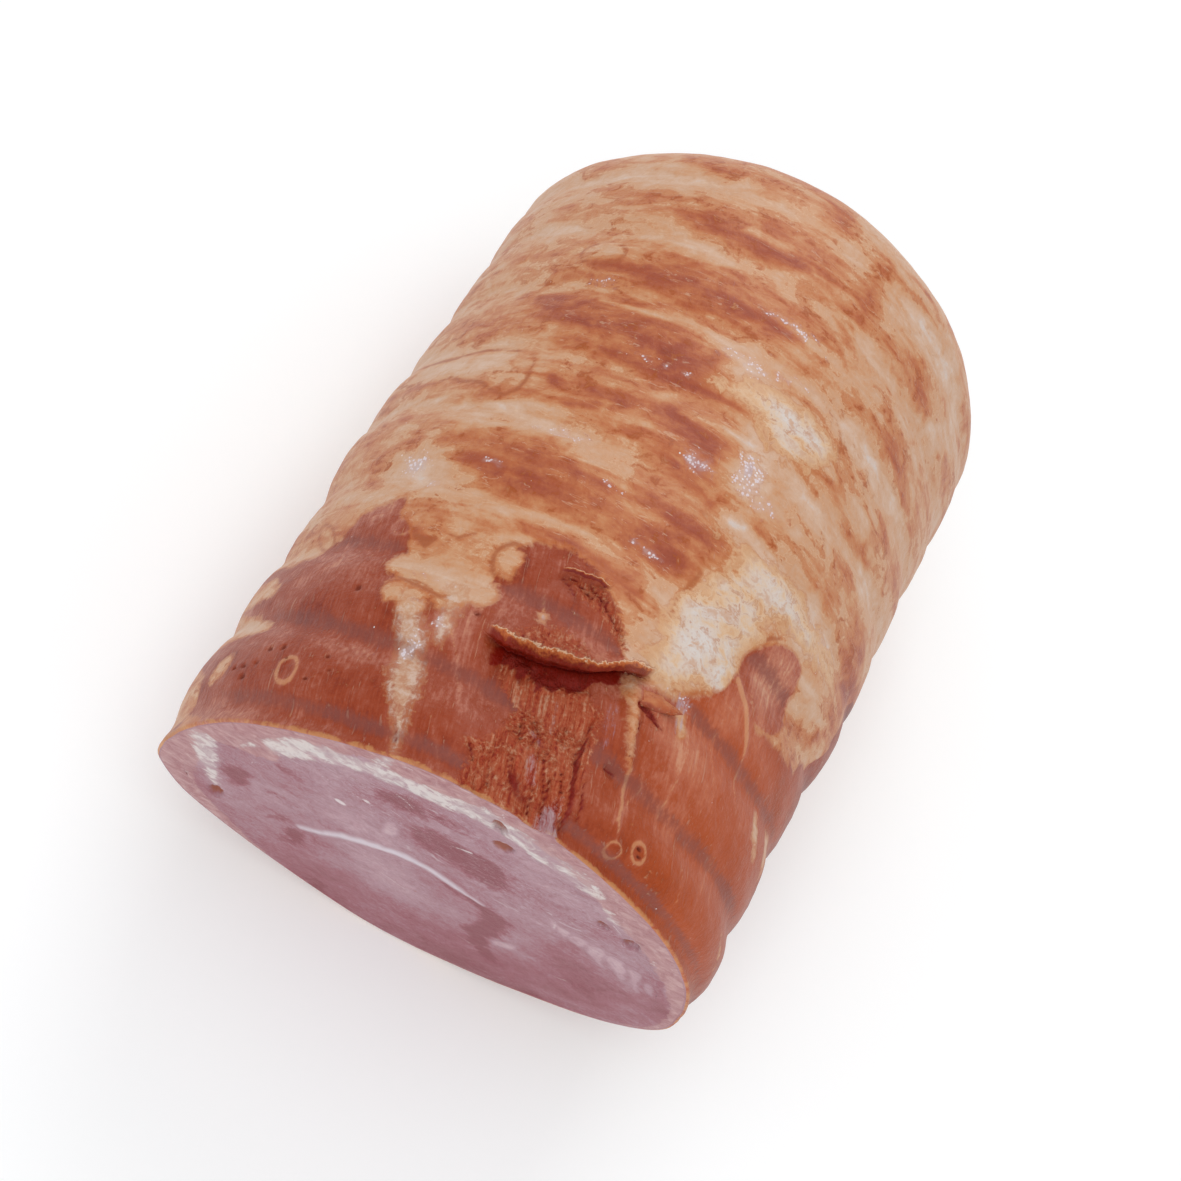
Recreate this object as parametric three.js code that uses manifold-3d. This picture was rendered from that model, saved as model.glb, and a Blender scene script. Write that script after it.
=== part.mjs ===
// Stuffed rolled pork belly: a netted and smoked roll, cut square at one end. Millimetres, +Z up.
// The roll lies along +Y on the plane z = 0, from its cut face to its rounded far end.
// A place on it is given by its arc (mm round the roll from the top line, right side positive)
// and its station (mm along the roll from the cut).

import * as THREE from 'three';
import { mergeVertices } from 'three/addons/utils/BufferGeometryUtils.js';
import Module from 'manifold-3d';

const wasm = await Module();
wasm.setup();

// Driving dimensions of the roll
const HALF_WIDTH = 68;
const CENTRE_HEIGHT = 42;
const UPPER_HEIGHT = 71;
const SINK = 2;
const ROLL_LENGTH = 213;
const DOME_START = 172;
const DOME_POWER = 2.9;
const WIDTH_GAIN = 0.03 / HALF_WIDTH;
const SECTION_POWER = { upper: 1.8, lowerRight: 1.8, lowerLeft: 1.64 };

// The cut plane and the net's rings both lean a little
const CUT_LEAN = Math.tan(THREE.MathUtils.degToRad(3.6));
const CUT_YAW = Math.tan(THREE.MathUtils.degToRad(3.4));
const RING_LEAN = Math.tan(THREE.MathUtils.degToRad(-3.4));
const RING_YAW = Math.tan(THREE.MathUtils.degToRad(-0.8));
const LEAN_BLEND = 20;

// The net: ring spacing, and for each ring the level of its groove and the swell of the meat after it
const FIRST_RING = 5;
const NET_PITCH = 21.7;
const GROOVE_LEVEL = [-0.5, 0.4, 0.6, 0.6, 1.4, 0.9, 0.6, 0.6, 0.2, 0.1, 0];
const LOBE_RISE = [2.4, 1.9, 1.2, 1.7, 1.1, 0.9, 1.0, 0.9, 1.2, 1.0, 0.6];
const LOBE_POWER = 3;
const RIM_SWELL = 0.4;

// Slow lumps: their height, how many go round the roll, and their spacing along it
const LUMPS = { height: 0.7, round: 4, along: 41, crossRound: 2, crossAlong: 23 };

// The tear near the cut: a flap's edge, the gouge below it, and a small curled flake beside it
const TEAR_EDGE = [[-34, 38], [-20, 38.5], [-6, 40], [2, 43], [9, 49], [24, 51]];
const TEAR_STATION = 42;
const TEAR_REACH = 30;
const TEAR_MIDDLE = -2;
const TEAR_BEND_FULL = 20;
const TEAR_BEND_NONE = 32;
const TEAR_LEFT = -17;
const TEAR_RIGHT = 13;
const TEAR_SIDE = 3;
const TEAR_NARROWING = 0.22;
const TEAR_DEPTH = 3.6;
const TEAR_FADE = 22;
const TEAR_FADE_SHARE = 0.75;
const FLAP_RISE = 1.5;
const FLAP_LENGTH = 11;
const LIP_OVERHANG = 1.8;
const LIP_LENGTH = 3;
const LIP_TOLERANCE = 0.01;
const CRAGS = { height: 0.9, arcWave: 0.9, slant: 0.1, stationWave: 0.45, shift: 1, from: 4, full: 10 };
const FLAKE = { arc: 18.5, station: 46, halfWidth: 6, halfLength: 2.2, rise: 2 };

// Thickness of the outer lean meat, and of the fat inside it, by angle round the section
// (degrees, 0 at the right, 90 at the top)
const LEAN_THICKNESS = [[-180, 6.5], [-90, 5.5], [0, 6.5], [45, 7.5], [62, 5.5], [90, 6.5],
  [110, 4], [122, 8], [138, 5.5], [152, 6], [168, 7], [180, 6.5]];
const FAT_THICKNESS = [[16, 0.9], [24, 1.6], [42, 2.2], [52, 5.5], [62, 8], [75, 7], [90, 6.5],
  [106, 9], [118, 6], [136, 7], [143, 2.4], [150, 2], [157, 5], [167, 6], [178, 4.4], [186, 0.9]];
const GAP = 0.4;
const CUT_CLEARANCE = 6;

// Where the inner layers round off and end
const CORE_DOME_START = 150;
const CAVITY_END = 199;
const STUFFING_END = 198.4;

// Grid lines: pairs of an end position and the number of steps up to it
const OUTER_ARCS = [[-150, 4], [-120, 3], [-86, 6], [-26, 7], [24, 20], [86, 7], [120, 6], [150, 3]];
const LAST_ARC_STEPS = 4;
const OUTER_STATIONS = [[6, 3], [54, 21], [DOME_START, 27]];
const OUTER_DOME_STEPS = 10;
const CORE_ARC_STEPS = 72;
const CORE_STATIONS = [[CORE_DOME_START, 3]];
const CORE_DOME_STEPS = 7;
const FAT_DOME_STEPS = 4;
const SECTION_SAMPLES = 600;
const NORMAL_REACH = 1.5;
const DOME_LAST_STEP = 0.25;
const WELD_DISTANCE = 1e-4;

const FINISH = {
  wrap: { color: 0xb8734f, roughness: 0.55 },
  fat: { color: 0xd8cbbf, roughness: 0.45 },
  stuffing: { color: 0xae868c, roughness: 0.5 },
};

// Straight-line interpolation in a short table of [position, value] rows
function lookUp(table, position) {
  const last = table.length - 1;
  if (position <= table[0][0]) return table[0][1];
  if (position >= table[last][0]) return table[last][1];
  const row = table.findIndex(([start]) => start > position);
  const [from, low] = table[row - 1];
  const [to, high] = table[row];
  return low + ((high - low) * (position - from)) / (to - from);
}

function smooth(position, from, to) {
  return THREE.MathUtils.smoothstep(position, from, to);
}

// Positions of grid lines from a start, by zones of even steps
function gridLines(start, zones) {
  const lines = [start];
  for (const [end, steps] of zones) {
    const from = lines[lines.length - 1];
    for (let step = 1; step <= steps; step += 1) lines.push(from + ((end - from) * step) / steps);
  }
  return lines;
}

// One half of the plain section, from the top down one side: arc, x and z of dense samples
function halfSection(side, lowerPower) {
  const samples = [];
  let arc = 0;
  for (let index = 0; index <= SECTION_SAMPLES; index += 1) {
    const turn = Math.PI * (0.5 - index / SECTION_SAMPLES);
    const upper = turn >= 0;
    const power = 2 / (upper ? SECTION_POWER.upper : lowerPower);
    const height = upper ? UPPER_HEIGHT : CENTRE_HEIGHT + SINK;
    const x = side * HALF_WIDTH * Math.abs(Math.cos(turn)) ** power;
    const z = CENTRE_HEIGHT + Math.sign(turn) * height * Math.abs(Math.sin(turn)) ** power;
    if (index > 0) arc += Math.hypot(x - samples[index - 1].x, z - samples[index - 1].z);
    samples.push({ arc, x, z });
  }
  return samples;
}

const RIGHT_HALF = halfSection(1, SECTION_POWER.lowerRight);
const LEFT_HALF = halfSection(-1, SECTION_POWER.lowerLeft);
const RIGHT_GIRTH = RIGHT_HALF[SECTION_SAMPLES].arc;
const LEFT_GIRTH = LEFT_HALF[SECTION_SAMPLES].arc;

// Point of the plain section at an arc, right side positive
function plainPoint(arc) {
  const half = arc >= 0 ? RIGHT_HALF : LEFT_HALF;
  const distance = Math.min(Math.abs(arc), half[SECTION_SAMPLES].arc);
  let low = 0;
  let high = SECTION_SAMPLES;
  while (high - low > 1) {
    const middle = (low + high) >> 1;
    if (half[middle].arc <= distance) low = middle;
    else high = middle;
  }
  const share = (distance - half[low].arc) / (half[high].arc - half[low].arc);
  return new THREE.Vector2(
    THREE.MathUtils.lerp(half[low].x, half[high].x, share),
    THREE.MathUtils.lerp(half[low].z, half[high].z, share),
  );
}

// Outward normal of the plain section, from two points beside the place, across the bottom too
function plainNormal(arc) {
  const wrapArc = (value) => {
    if (value > RIGHT_GIRTH) return value - RIGHT_GIRTH - LEFT_GIRTH;
    if (value < -LEFT_GIRTH) return value + RIGHT_GIRTH + LEFT_GIRTH;
    return value;
  };
  const after = plainPoint(wrapArc(arc + NORMAL_REACH));
  const along = after.sub(plainPoint(wrapArc(arc - NORMAL_REACH)));
  return new THREE.Vector2(-along.y, along.x).normalize();
}

// Share of the full section left at a station of the rounded end
function domeShare(station, start, end) {
  const reach = THREE.MathUtils.clamp((station - start) / (end - start), 0, 1);
  return (1 - reach ** DOME_POWER) ** (1 / DOME_POWER);
}

// Swell of the meat between the net's rings
function netSwell(arc, station) {
  const along = Math.max((station - FIRST_RING) / NET_PITCH, -1);
  const ring = Math.max(Math.floor(along), 0);
  const share = along < 0 ? 1 + along : along - ring;
  const next = Math.min(ring + 1, GROOVE_LEVEL.length - 1);
  const rising = along < 0 ? 0 : share;
  const level = THREE.MathUtils.lerp(GROOVE_LEVEL[ring], GROOVE_LEVEL[next], rising);
  const swell = LOBE_RISE[ring] * (1 - Math.abs(2 * share - 1) ** LOBE_POWER);
  return level + (along < 0 ? RIM_SWELL : 1) * swell;
}

// Slow lumps of the meat, which close once round the roll
function slowLumps(arc, station) {
  const turn = (Math.PI * arc) / (arc < 0 ? LEFT_GIRTH : RIGHT_GIRTH);
  const lump = Math.sin(LUMPS.round * turn + station / LUMPS.along);
  return LUMPS.height * lump * Math.sin(station / LUMPS.crossAlong - LUMPS.crossRound * turn);
}

// Share of the tear at an arc: one inside its sides, which draw in below the flap's edge
function tearShare(arc, above) {
  const left = TEAR_LEFT + Math.max(-above, 0) * TEAR_NARROWING;
  const leftSide = smooth(arc, left - TEAR_SIDE, left + TEAR_SIDE);
  return leftSide * (1 - smooth(arc, TEAR_RIGHT - TEAR_SIDE, TEAR_RIGHT + TEAR_SIDE));
}

// The flap, gouge, crags and flake of the tear: the outward offset they add
function tearRelief(arc, station) {
  const above = station - lookUp(TEAR_EDGE, arc);
  const across = tearShare(arc, above);
  const flakeArc = (arc - FLAKE.arc) / FLAKE.halfWidth;
  const flakeStation = (station - FLAKE.station) / FLAKE.halfLength;
  const flake = FLAKE.rise * Math.exp(-(flakeArc ** 2) - flakeStation ** 2);
  if (above >= 0) return flake + across * FLAP_RISE * (1 - smooth(above, 0, FLAP_LENGTH));
  const depth = TEAR_DEPTH * (1 - TEAR_FADE_SHARE * smooth(-above, 0, TEAR_FADE));
  const strands = Math.sin(arc * CRAGS.arcWave + station * CRAGS.slant);
  const crags = CRAGS.height * strands * Math.sin(station * CRAGS.stationWave + CRAGS.shift);
  return flake - across * (depth - crags * smooth(-above, CRAGS.from, CRAGS.full));
}

// A point of the roll: a section point set back by the dome, leaned with the cut or the rings
function placed(section, station, dome) {
  const x = section.x * dome * (1 + WIDTH_GAIN * station);
  const z = CENTRE_HEIGHT + (section.y - CENTRE_HEIGHT) * dome;
  const cut = CUT_LEAN * (z - CENTRE_HEIGHT) + CUT_YAW * x;
  const ring = RING_LEAN * (z - CENTRE_HEIGHT) + RING_YAW * x;
  const blend = THREE.MathUtils.clamp(station / LEAN_BLEND, 0, 1);
  return new THREE.Vector3(x, station + THREE.MathUtils.lerp(cut, ring, blend), z);
}

// The grid's stations bend round the tear, so that one line follows the flap's edge
function tornStation(arc, station) {
  const near = 1 - smooth(Math.abs(arc - TEAR_MIDDLE), TEAR_BEND_FULL, TEAR_BEND_NONE);
  const along = 1 - THREE.MathUtils.clamp(Math.abs(station - TEAR_STATION) / TEAR_REACH, 0, 1);
  return station + (lookUp(TEAR_EDGE, arc) - TEAR_STATION) * near * along;
}

// A point of the smoked outside
function outerPoint(arc, gridStation) {
  const station = tornStation(arc, gridStation);
  const section = plainPoint(arc);
  const offset = netSwell(arc, station) + slowLumps(arc, station) + tearRelief(arc, station);
  section.addScaledVector(plainNormal(arc), offset);
  const point = placed(section, station, domeShare(station, DOME_START, ROLL_LENGTH));
  const above = station - lookUp(TEAR_EDGE, arc);
  const lip = above >= -LIP_TOLERANCE ? Math.exp(-((above / LIP_LENGTH) ** 2)) : 0;
  point.y -= LIP_OVERHANG * lip * tearShare(arc, above);
  point.z = Math.max(point.z, 0);
  return point;
}

// A point of an inner surface, at a depth under the plain section
function innerPoint(arc, station, depth, end) {
  const section = plainPoint(arc).addScaledVector(plainNormal(arc), -depth);
  return placed(section, station, domeShare(station, CORE_DOME_START, end));
}

// Angle round the section of the place at an arc, in degrees
function sectionAngle(arc) {
  const point = plainPoint(arc);
  return THREE.MathUtils.radToDeg(Math.atan2(point.y - CENTRE_HEIGHT, point.x));
}

// Fat thickness at an angle, where the left tip runs on past 180 degrees
function fatThickness(angle) {
  const turned = angle < -90 ? angle + 360 : angle;
  const inside = turned >= FAT_THICKNESS[0][0] && turned <= FAT_THICKNESS[FAT_THICKNESS.length - 1][0];
  return inside ? lookUp(FAT_THICKNESS, turned) : 0;
}

function indexedGeometry(points, index) {
  const geometry = new THREE.BufferGeometry();
  const positions = points.flatMap((point) => point.toArray());
  geometry.setAttribute('position', new THREE.Float32BufferAttribute(positions, 3));
  geometry.setIndex(index);
  return geometry;
}

// Closed body from rings of points, each ring once round, with a fan at each end
function loftedBody(rings, nearHub, farHub) {
  const around = rings[0].length;
  const near = rings.length * around;
  const far = near + 1;
  const index = [];
  for (let side = 0; side < around; side += 1) {
    const next = (side + 1) % around;
    index.push(near, next, side);
    for (let ring = 0; ring < rings.length - 1; ring += 1) {
      const here = ring * around;
      const there = here + around;
      index.push(here + side, there + next, there + side);
      index.push(here + side, here + next, there + next);
    }
    const last = (rings.length - 1) * around;
    index.push(far, last + side, last + next);
  }
  return indexedGeometry([...rings.flat(), nearHub, farHub], index);
}

// Stations of a rounded end, closer together as it closes, without the last point
function domeStations(start, end, steps) {
  return Array.from({ length: steps }, (_, step) => (
    start + (end - start) * Math.sin((Math.PI / 2) * ((step + 1) / (steps + DOME_LAST_STEP)))
  ));
}

// Arcs and stations of the inner surfaces: the same for all, so that their faces stay parallel
const CORE_ARCS = Array.from({ length: CORE_ARC_STEPS }, (_, step) => (
  -LEFT_GIRTH + ((LEFT_GIRTH + RIGHT_GIRTH) * step) / CORE_ARC_STEPS
));

function coreStations(end, domeSteps) {
  const dome = domeStations(CORE_DOME_START, end, CORE_DOME_STEPS).slice(0, domeSteps);
  return [...gridLines(0, CORE_STATIONS), ...dome];
}

function hub(station) {
  return placed(new THREE.Vector2(0, CENTRE_HEIGHT), station, 1);
}

function outerBody() {
  const arcs = gridLines(-LEFT_GIRTH, [...OUTER_ARCS, [RIGHT_GIRTH, LAST_ARC_STEPS]]).slice(0, -1);
  const stations = gridLines(0, OUTER_STATIONS);
  stations.push(...domeStations(DOME_START, ROLL_LENGTH, OUTER_DOME_STEPS));
  const rings = stations.map((station) => arcs.map((arc) => outerPoint(arc, station)));
  return loftedBody(rings, hub(0), hub(ROLL_LENGTH));
}

function leanAt(arc) {
  return lookUp(LEAN_THICKNESS, sectionAngle(arc));
}

function fatAt(arc) {
  return fatThickness(sectionAngle(arc));
}

// One ring of an inner surface for each station, at the depth that a function of the arc gives
function coreRings(arcs, depthAt, end, domeSteps) {
  return coreStations(end, domeSteps).map((station) => (
    arcs.map((arc) => innerPoint(arc, station, depthAt(arc), end))
  ));
}

// The space for the fat and the stuffing: it starts just outside the cut
function cavityBody() {
  const rings = coreRings(CORE_ARCS, leanAt, CAVITY_END, CORE_DOME_STEPS);
  const outside = rings[0].map((point) => point.clone().setY(point.y - CUT_CLEARANCE));
  return loftedBody([outside, ...rings], hub(0).setY(-CUT_CLEARANCE), hub(CAVITY_END));
}

function stuffingBody() {
  const depthAt = (arc) => leanAt(arc) + GAP + (fatAt(arc) > 0 ? fatAt(arc) + GAP : 0);
  const rings = coreRings(CORE_ARCS, depthAt, STUFFING_END, CORE_DOME_STEPS);
  return loftedBody(rings, hub(0), hub(STUFFING_END));
}

// The band of fat: an outer and an inner face, joined at both tips and at both ends
function fatBody() {
  const arcs = CORE_ARCS.filter((arc) => fatAt(arc) > 0);
  const outer = coreRings(arcs, (arc) => leanAt(arc) + GAP, STUFFING_END, FAT_DOME_STEPS);
  const inner = coreRings(arcs, (arc) => leanAt(arc) + fatAt(arc), STUFFING_END, FAT_DOME_STEPS);
  const faces = outer.map((ring, row) => [...ring, ...inner[row].reverse()]);
  const around = faces[0].length;
  const index = [];
  for (let row = 0; row < faces.length - 1; row += 1) {
    for (let side = 0; side < around; side += 1) {
      const next = (side + 1) % around;
      const here = row * around;
      const there = here + around;
      index.push(here + side, there + next, there + side);
      index.push(here + side, here + next, there + next);
    }
  }
  const end = (faces.length - 1) * around;
  for (let side = 0; side < arcs.length - 1; side += 1) {
    const across = around - 1 - side;
    index.push(side, across - 1, side + 1, side, across, across - 1);
    index.push(end + side, end + side + 1, end + across - 1, end + side, end + across - 1, end + across);
  }
  return indexedGeometry(faces.flat(), index);
}

// Closed geometry to a solid and back
function toSolid(geometry) {
  const merged = mergeVertices(geometry, WELD_DISTANCE);
  return new wasm.Manifold(new wasm.Mesh({
    numProp: 3,
    vertProperties: new Float32Array(merged.attributes.position.array),
    triVerts: new Uint32Array(merged.index.array),
  }));
}

function toGeometry(solid) {
  const mesh = solid.getMesh();
  const geometry = new THREE.BufferGeometry();
  geometry.setAttribute('position', new THREE.Float32BufferAttribute(mesh.vertProperties, 3));
  geometry.setIndex(Array.from(mesh.triVerts));
  geometry.computeVertexNormals();
  return geometry;
}

function food(name, geometry, finish) {
  const material = new THREE.MeshStandardMaterial({ ...finish, metalness: 0 });
  const mesh = new THREE.Mesh(geometry, material);
  mesh.name = name;
  return mesh;
}

const wrapGeometry = toGeometry(toSolid(outerBody()).subtract(toSolid(cavityBody())));
const fatGeometry = toGeometry(toSolid(fatBody()));
const stuffingGeometry = toGeometry(toSolid(stuffingBody()));

const roll = new THREE.Group();
roll.add(food('belly_wrap', wrapGeometry, FINISH.wrap));
roll.add(food('fat_layer', fatGeometry, FINISH.fat));
roll.add(food('stuffing', stuffingGeometry, FINISH.stuffing));

// The origin is the middle of the roll's footprint
wrapGeometry.computeBoundingBox();
const middle = wrapGeometry.boundingBox.getCenter(new THREE.Vector3());
roll.position.set(-middle.x, -middle.y, 0);

export default roll;
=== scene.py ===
"""Looks of a stuffed rolled pork belly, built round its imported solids.

Lengths are millimetres in the roll's own frame, whose origin is the middle of the cut at the height of
the surface that the roll lies on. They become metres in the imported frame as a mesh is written.
A place on the crust is an arc (round the roll from its top line, the right side positive) and a
station (along the roll from the cut). A place on the cut is across (x) and up (z).
"""
import logging
import math
from dataclasses import dataclass, field
from enum import Enum

import bpy
import numpy as np
from mathutils import Matrix, Vector

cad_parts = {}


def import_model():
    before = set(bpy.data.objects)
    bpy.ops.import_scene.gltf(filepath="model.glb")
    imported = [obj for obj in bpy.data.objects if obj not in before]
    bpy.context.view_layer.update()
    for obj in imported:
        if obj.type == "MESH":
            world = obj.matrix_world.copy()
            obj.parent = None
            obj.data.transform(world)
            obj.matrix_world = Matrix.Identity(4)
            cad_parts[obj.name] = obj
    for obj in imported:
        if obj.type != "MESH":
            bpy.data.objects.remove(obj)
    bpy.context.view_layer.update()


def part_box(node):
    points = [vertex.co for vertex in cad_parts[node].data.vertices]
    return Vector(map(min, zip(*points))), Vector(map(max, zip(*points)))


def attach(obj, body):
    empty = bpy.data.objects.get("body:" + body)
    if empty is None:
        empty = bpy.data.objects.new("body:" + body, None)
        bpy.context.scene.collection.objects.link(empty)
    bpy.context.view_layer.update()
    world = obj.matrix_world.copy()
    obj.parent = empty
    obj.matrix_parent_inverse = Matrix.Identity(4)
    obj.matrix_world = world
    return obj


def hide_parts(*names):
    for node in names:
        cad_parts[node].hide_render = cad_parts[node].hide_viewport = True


LOG = logging.getLogger("rolled_belly")
MM = 0.001
PHOTO_PIXELS = 1181
Array = np.ndarray
Colour = tuple[float, float, float, float]
Span = tuple[float, float]
Spans = tuple[Span, ...]
Triple = tuple[float, float, float]
Tones = tuple[tuple[float, str], ...]
Socket = bpy.types.NodeSocket


class Node(str, Enum):
    """The kinds of shader node that the finishes use."""

    PLACE = "ShaderNodeTexCoord"
    SCALE = "ShaderNodeMapping"
    FIELD = "ShaderNodeAttribute"
    NOISE = "ShaderNodeTexNoise"
    CELLS = "ShaderNodeTexVoronoi"
    RAMP = "ShaderNodeValToRGB"
    RANGE = "ShaderNodeMapRange"
    MATH = "ShaderNodeMath"
    MIX = "ShaderNodeMix"
    BUMP = "ShaderNodeBump"
    SURFACE = "ShaderNodeBsdfPrincipled"
    OUTPUT = "ShaderNodeOutputMaterial"


class Layer(str, Enum):
    """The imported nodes, which are the layers of the roll."""

    WRAP = "belly_wrap"
    FAT = "fat_layer"
    STUFFING = "stuffing"


class Slot(str, Enum):
    """The record's material slots."""

    CRUST = "smoked_belly"
    FAT = "belly_fat"
    FILLING = "pink_filling"


def linear(code: str) -> Colour:
    """Turns an sRGB hex colour into a linear one.

    Args:
        code: Six hex digits.

    Returns:
        Linear red, green and blue, with full opacity.
    """
    parts = [int(code[i:i + 2], 16) / 255 for i in (0, 2, 4)]
    red, green, blue = (p / 12.92 if p <= 0.04045 else ((p + 0.055) / 1.055) ** 2.4 for p in parts)
    return red, green, blue, 1.0


def add(tree: bpy.types.NodeTree, kind: Node, settings: dict | None = None,
        links: dict | None = None) -> bpy.types.Node:
    """Adds a node with its settings and links.

    Args:
        tree: The material's tree.
        kind: The kind of node.
        settings: Values by property name or by input; "stops" gives a ramp's places and colours.
        links: Output sockets by input.

    Returns:
        The new node.
    """
    node = tree.nodes.new(kind.value)
    for key, value in (settings or {}).items():
        if key == "stops":
            for index, (place, code) in enumerate(value):
                stop = node.color_ramp.elements[index] if index < 2 else node.color_ramp.elements.new(place)
                stop.position, stop.color = place, linear(code)
        elif isinstance(key, str) and hasattr(node, key):
            setattr(node, key, value)
        else:
            node.inputs[key].default_value = value
    for key, source in (links or {}).items():
        tree.links.new(source, node.inputs[key])
    return node


def smooth(value: Array, start: float | Array, end: float | Array) -> Array:
    """Cubic step: 0 up to start, 1 from end, 3t^2 - 2t^3 between.

    Args:
        value: Positions.
        start: Where the step starts.
        end: Where it ends.

    Returns:
        The step at each position.
    """
    share = np.clip((value - start) / (end - start), 0, 1)
    return share * share * (3 - 2 * share)


def lines(start: float, zones: Spans) -> Array:
    """Positions of grid lines, by zones of even steps.

    Args:
        start: The first position.
        zones: Each zone's end and its largest step.

    Returns:
        The positions, with both ends.
    """
    found = [np.array([start])]
    for end, step in zones:
        begin = found[-1][-1]
        found.append(np.linspace(begin, end, max(int(math.ceil((end - begin) / step)), 1) + 1)[1:])
    return np.concatenate(found)


class Lattice:
    """Smooth noise: random values on a cubic lattice, blended by cubic steps between its points."""

    def __init__(self, seed: int, cells: int = 32) -> None:
        """Draws the lattice, which repeats after its number of cells."""
        self.cells = cells
        self.values = np.random.default_rng(seed).random((cells,) * 3) * 2 - 1

    def at(self, place: Array, *scale: float) -> Array:
        """Noise at places.

        Args:
            place: Points in millimetres, last axis x, y, z.
            scale: Size of a lattice cell, once or along each axis, in millimetres.

        Returns:
            Values from -1 to 1, one for each point.
        """
        spot = place / np.array(scale)
        base = np.floor(spot).astype(int)
        share = spot - base
        share = share * share * (3 - 2 * share)
        total = np.zeros(place.shape[:-1])
        for corner in np.ndindex(2, 2, 2):
            index = (base + np.array(corner)) % self.cells
            weight = np.prod(np.where(corner, share, 1 - share), axis=-1)
            total += weight * self.values[index[..., 0], index[..., 1], index[..., 2]]
        return total


@dataclass(frozen=True)
class Ripple:
    """Smooth noise of one size: the seed of its lattice, its height, and its cells in millimetres."""

    seed: int
    height: float
    cells: tuple[float, ...]

    def at(self, place: Array) -> Array:
        """Its values at places, from minus to plus its height."""
        return self.height * Lattice(self.seed).at(place, *self.cells)


Ripples = tuple[Ripple, ...]


def rippled(ripples: Ripples, place: Array) -> Array:
    """Sum of ripples at places.

    Args:
        ripples: The ripples.
        place: Points in millimetres, last axis x, y, z.

    Returns:
        One value for each point.
    """
    return sum(ripple.at(place) for ripple in ripples)


@dataclass(frozen=True)
class Oval:
    """An oval mark: its middle, half sizes and turn in degrees."""

    u: float
    v: float
    half_u: float
    half_v: float
    turn: float = 0.0

    def depth(self, u: Array, v: Array) -> Array:
        """How deep points lie in the oval: (1 - distance ratio) x the smaller half.

        Args:
            u: First coordinates.
            v: Second coordinates.

        Returns:
            Millimetres inside the edge, negative outside.
        """
        cosine, sine = math.cos(math.radians(self.turn)), math.sin(math.radians(self.turn))
        across = (u - self.u) * cosine + (v - self.v) * sine
        along = (v - self.v) * cosine - (u - self.u) * sine
        ratio = np.hypot(across / self.half_u, along / self.half_v)
        return (1 - ratio) * min(self.half_u, self.half_v)


@dataclass(frozen=True)
class Hoop:
    """The outline of an oval mark, as a line of a half width."""

    oval: Oval
    half: float = 0.4

    def depth(self, u: Array, v: Array) -> Array:
        """Millimetres inside the line's edge, negative outside."""
        return self.half - np.abs(self.oval.depth(u, v))


class Band:
    """A band along a path, whose points are (u, v, half width)."""

    def __init__(self, *points: Triple) -> None:
        """Keeps the path."""
        self.points = points

    def depth(self, u: Array, v: Array) -> Array:
        """How deep points lie in the band: the half width less the distance to the nearest piece.

        Args:
            u: First coordinates.
            v: Second coordinates.

        Returns:
            Millimetres inside the edge, negative outside.
        """
        best = np.full(np.shape(u), -1e9)
        for (u0, v0, w0), (u1, v1, w1) in zip(self.points, self.points[1:]):
            run = np.array([u1 - u0, v1 - v0])
            share = np.clip(((u - u0) * run[0] + (v - v0) * run[1]) / (run @ run), 0, 1)
            distance = np.hypot(u - u0 - share * run[0], v - v0 - share * run[1])
            best = np.maximum(best, w0 + (w1 - w0) * share - distance)
        return best


Mark = Oval | Hoop | Band


@dataclass(frozen=True)
class Blot:
    """Marks that push a tone: by how much, and over how many millimetres their edges fade."""

    push: float
    fade: float
    marks: tuple[Mark, ...]

    def cover(self, u: Array, v: Array) -> Array:
        """How far the marks cover points: 0.5 + greatest depth / fade.

        Args:
            u: First coordinates.
            v: Second coordinates.

        Returns:
            Cover from 0 to 1, with 0.5 on the marks' edges.
        """
        best = np.full(np.shape(u), -1e9)
        for mark in self.marks:
            best = np.maximum(best, mark.depth(u, v))
        return np.clip(0.5 + best / self.fade, 0, 1)


def pushed(blots: tuple[Blot, ...], u: Array, v: Array) -> Array:
    """Sum of the blots' pushes, each times its cover.

    Args:
        blots: The sets of marks.
        u: First coordinates.
        v: Second coordinates.

    Returns:
        The tone that they add at each point.
    """
    return sum(blot.push * blot.cover(u, v) for blot in blots)


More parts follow.
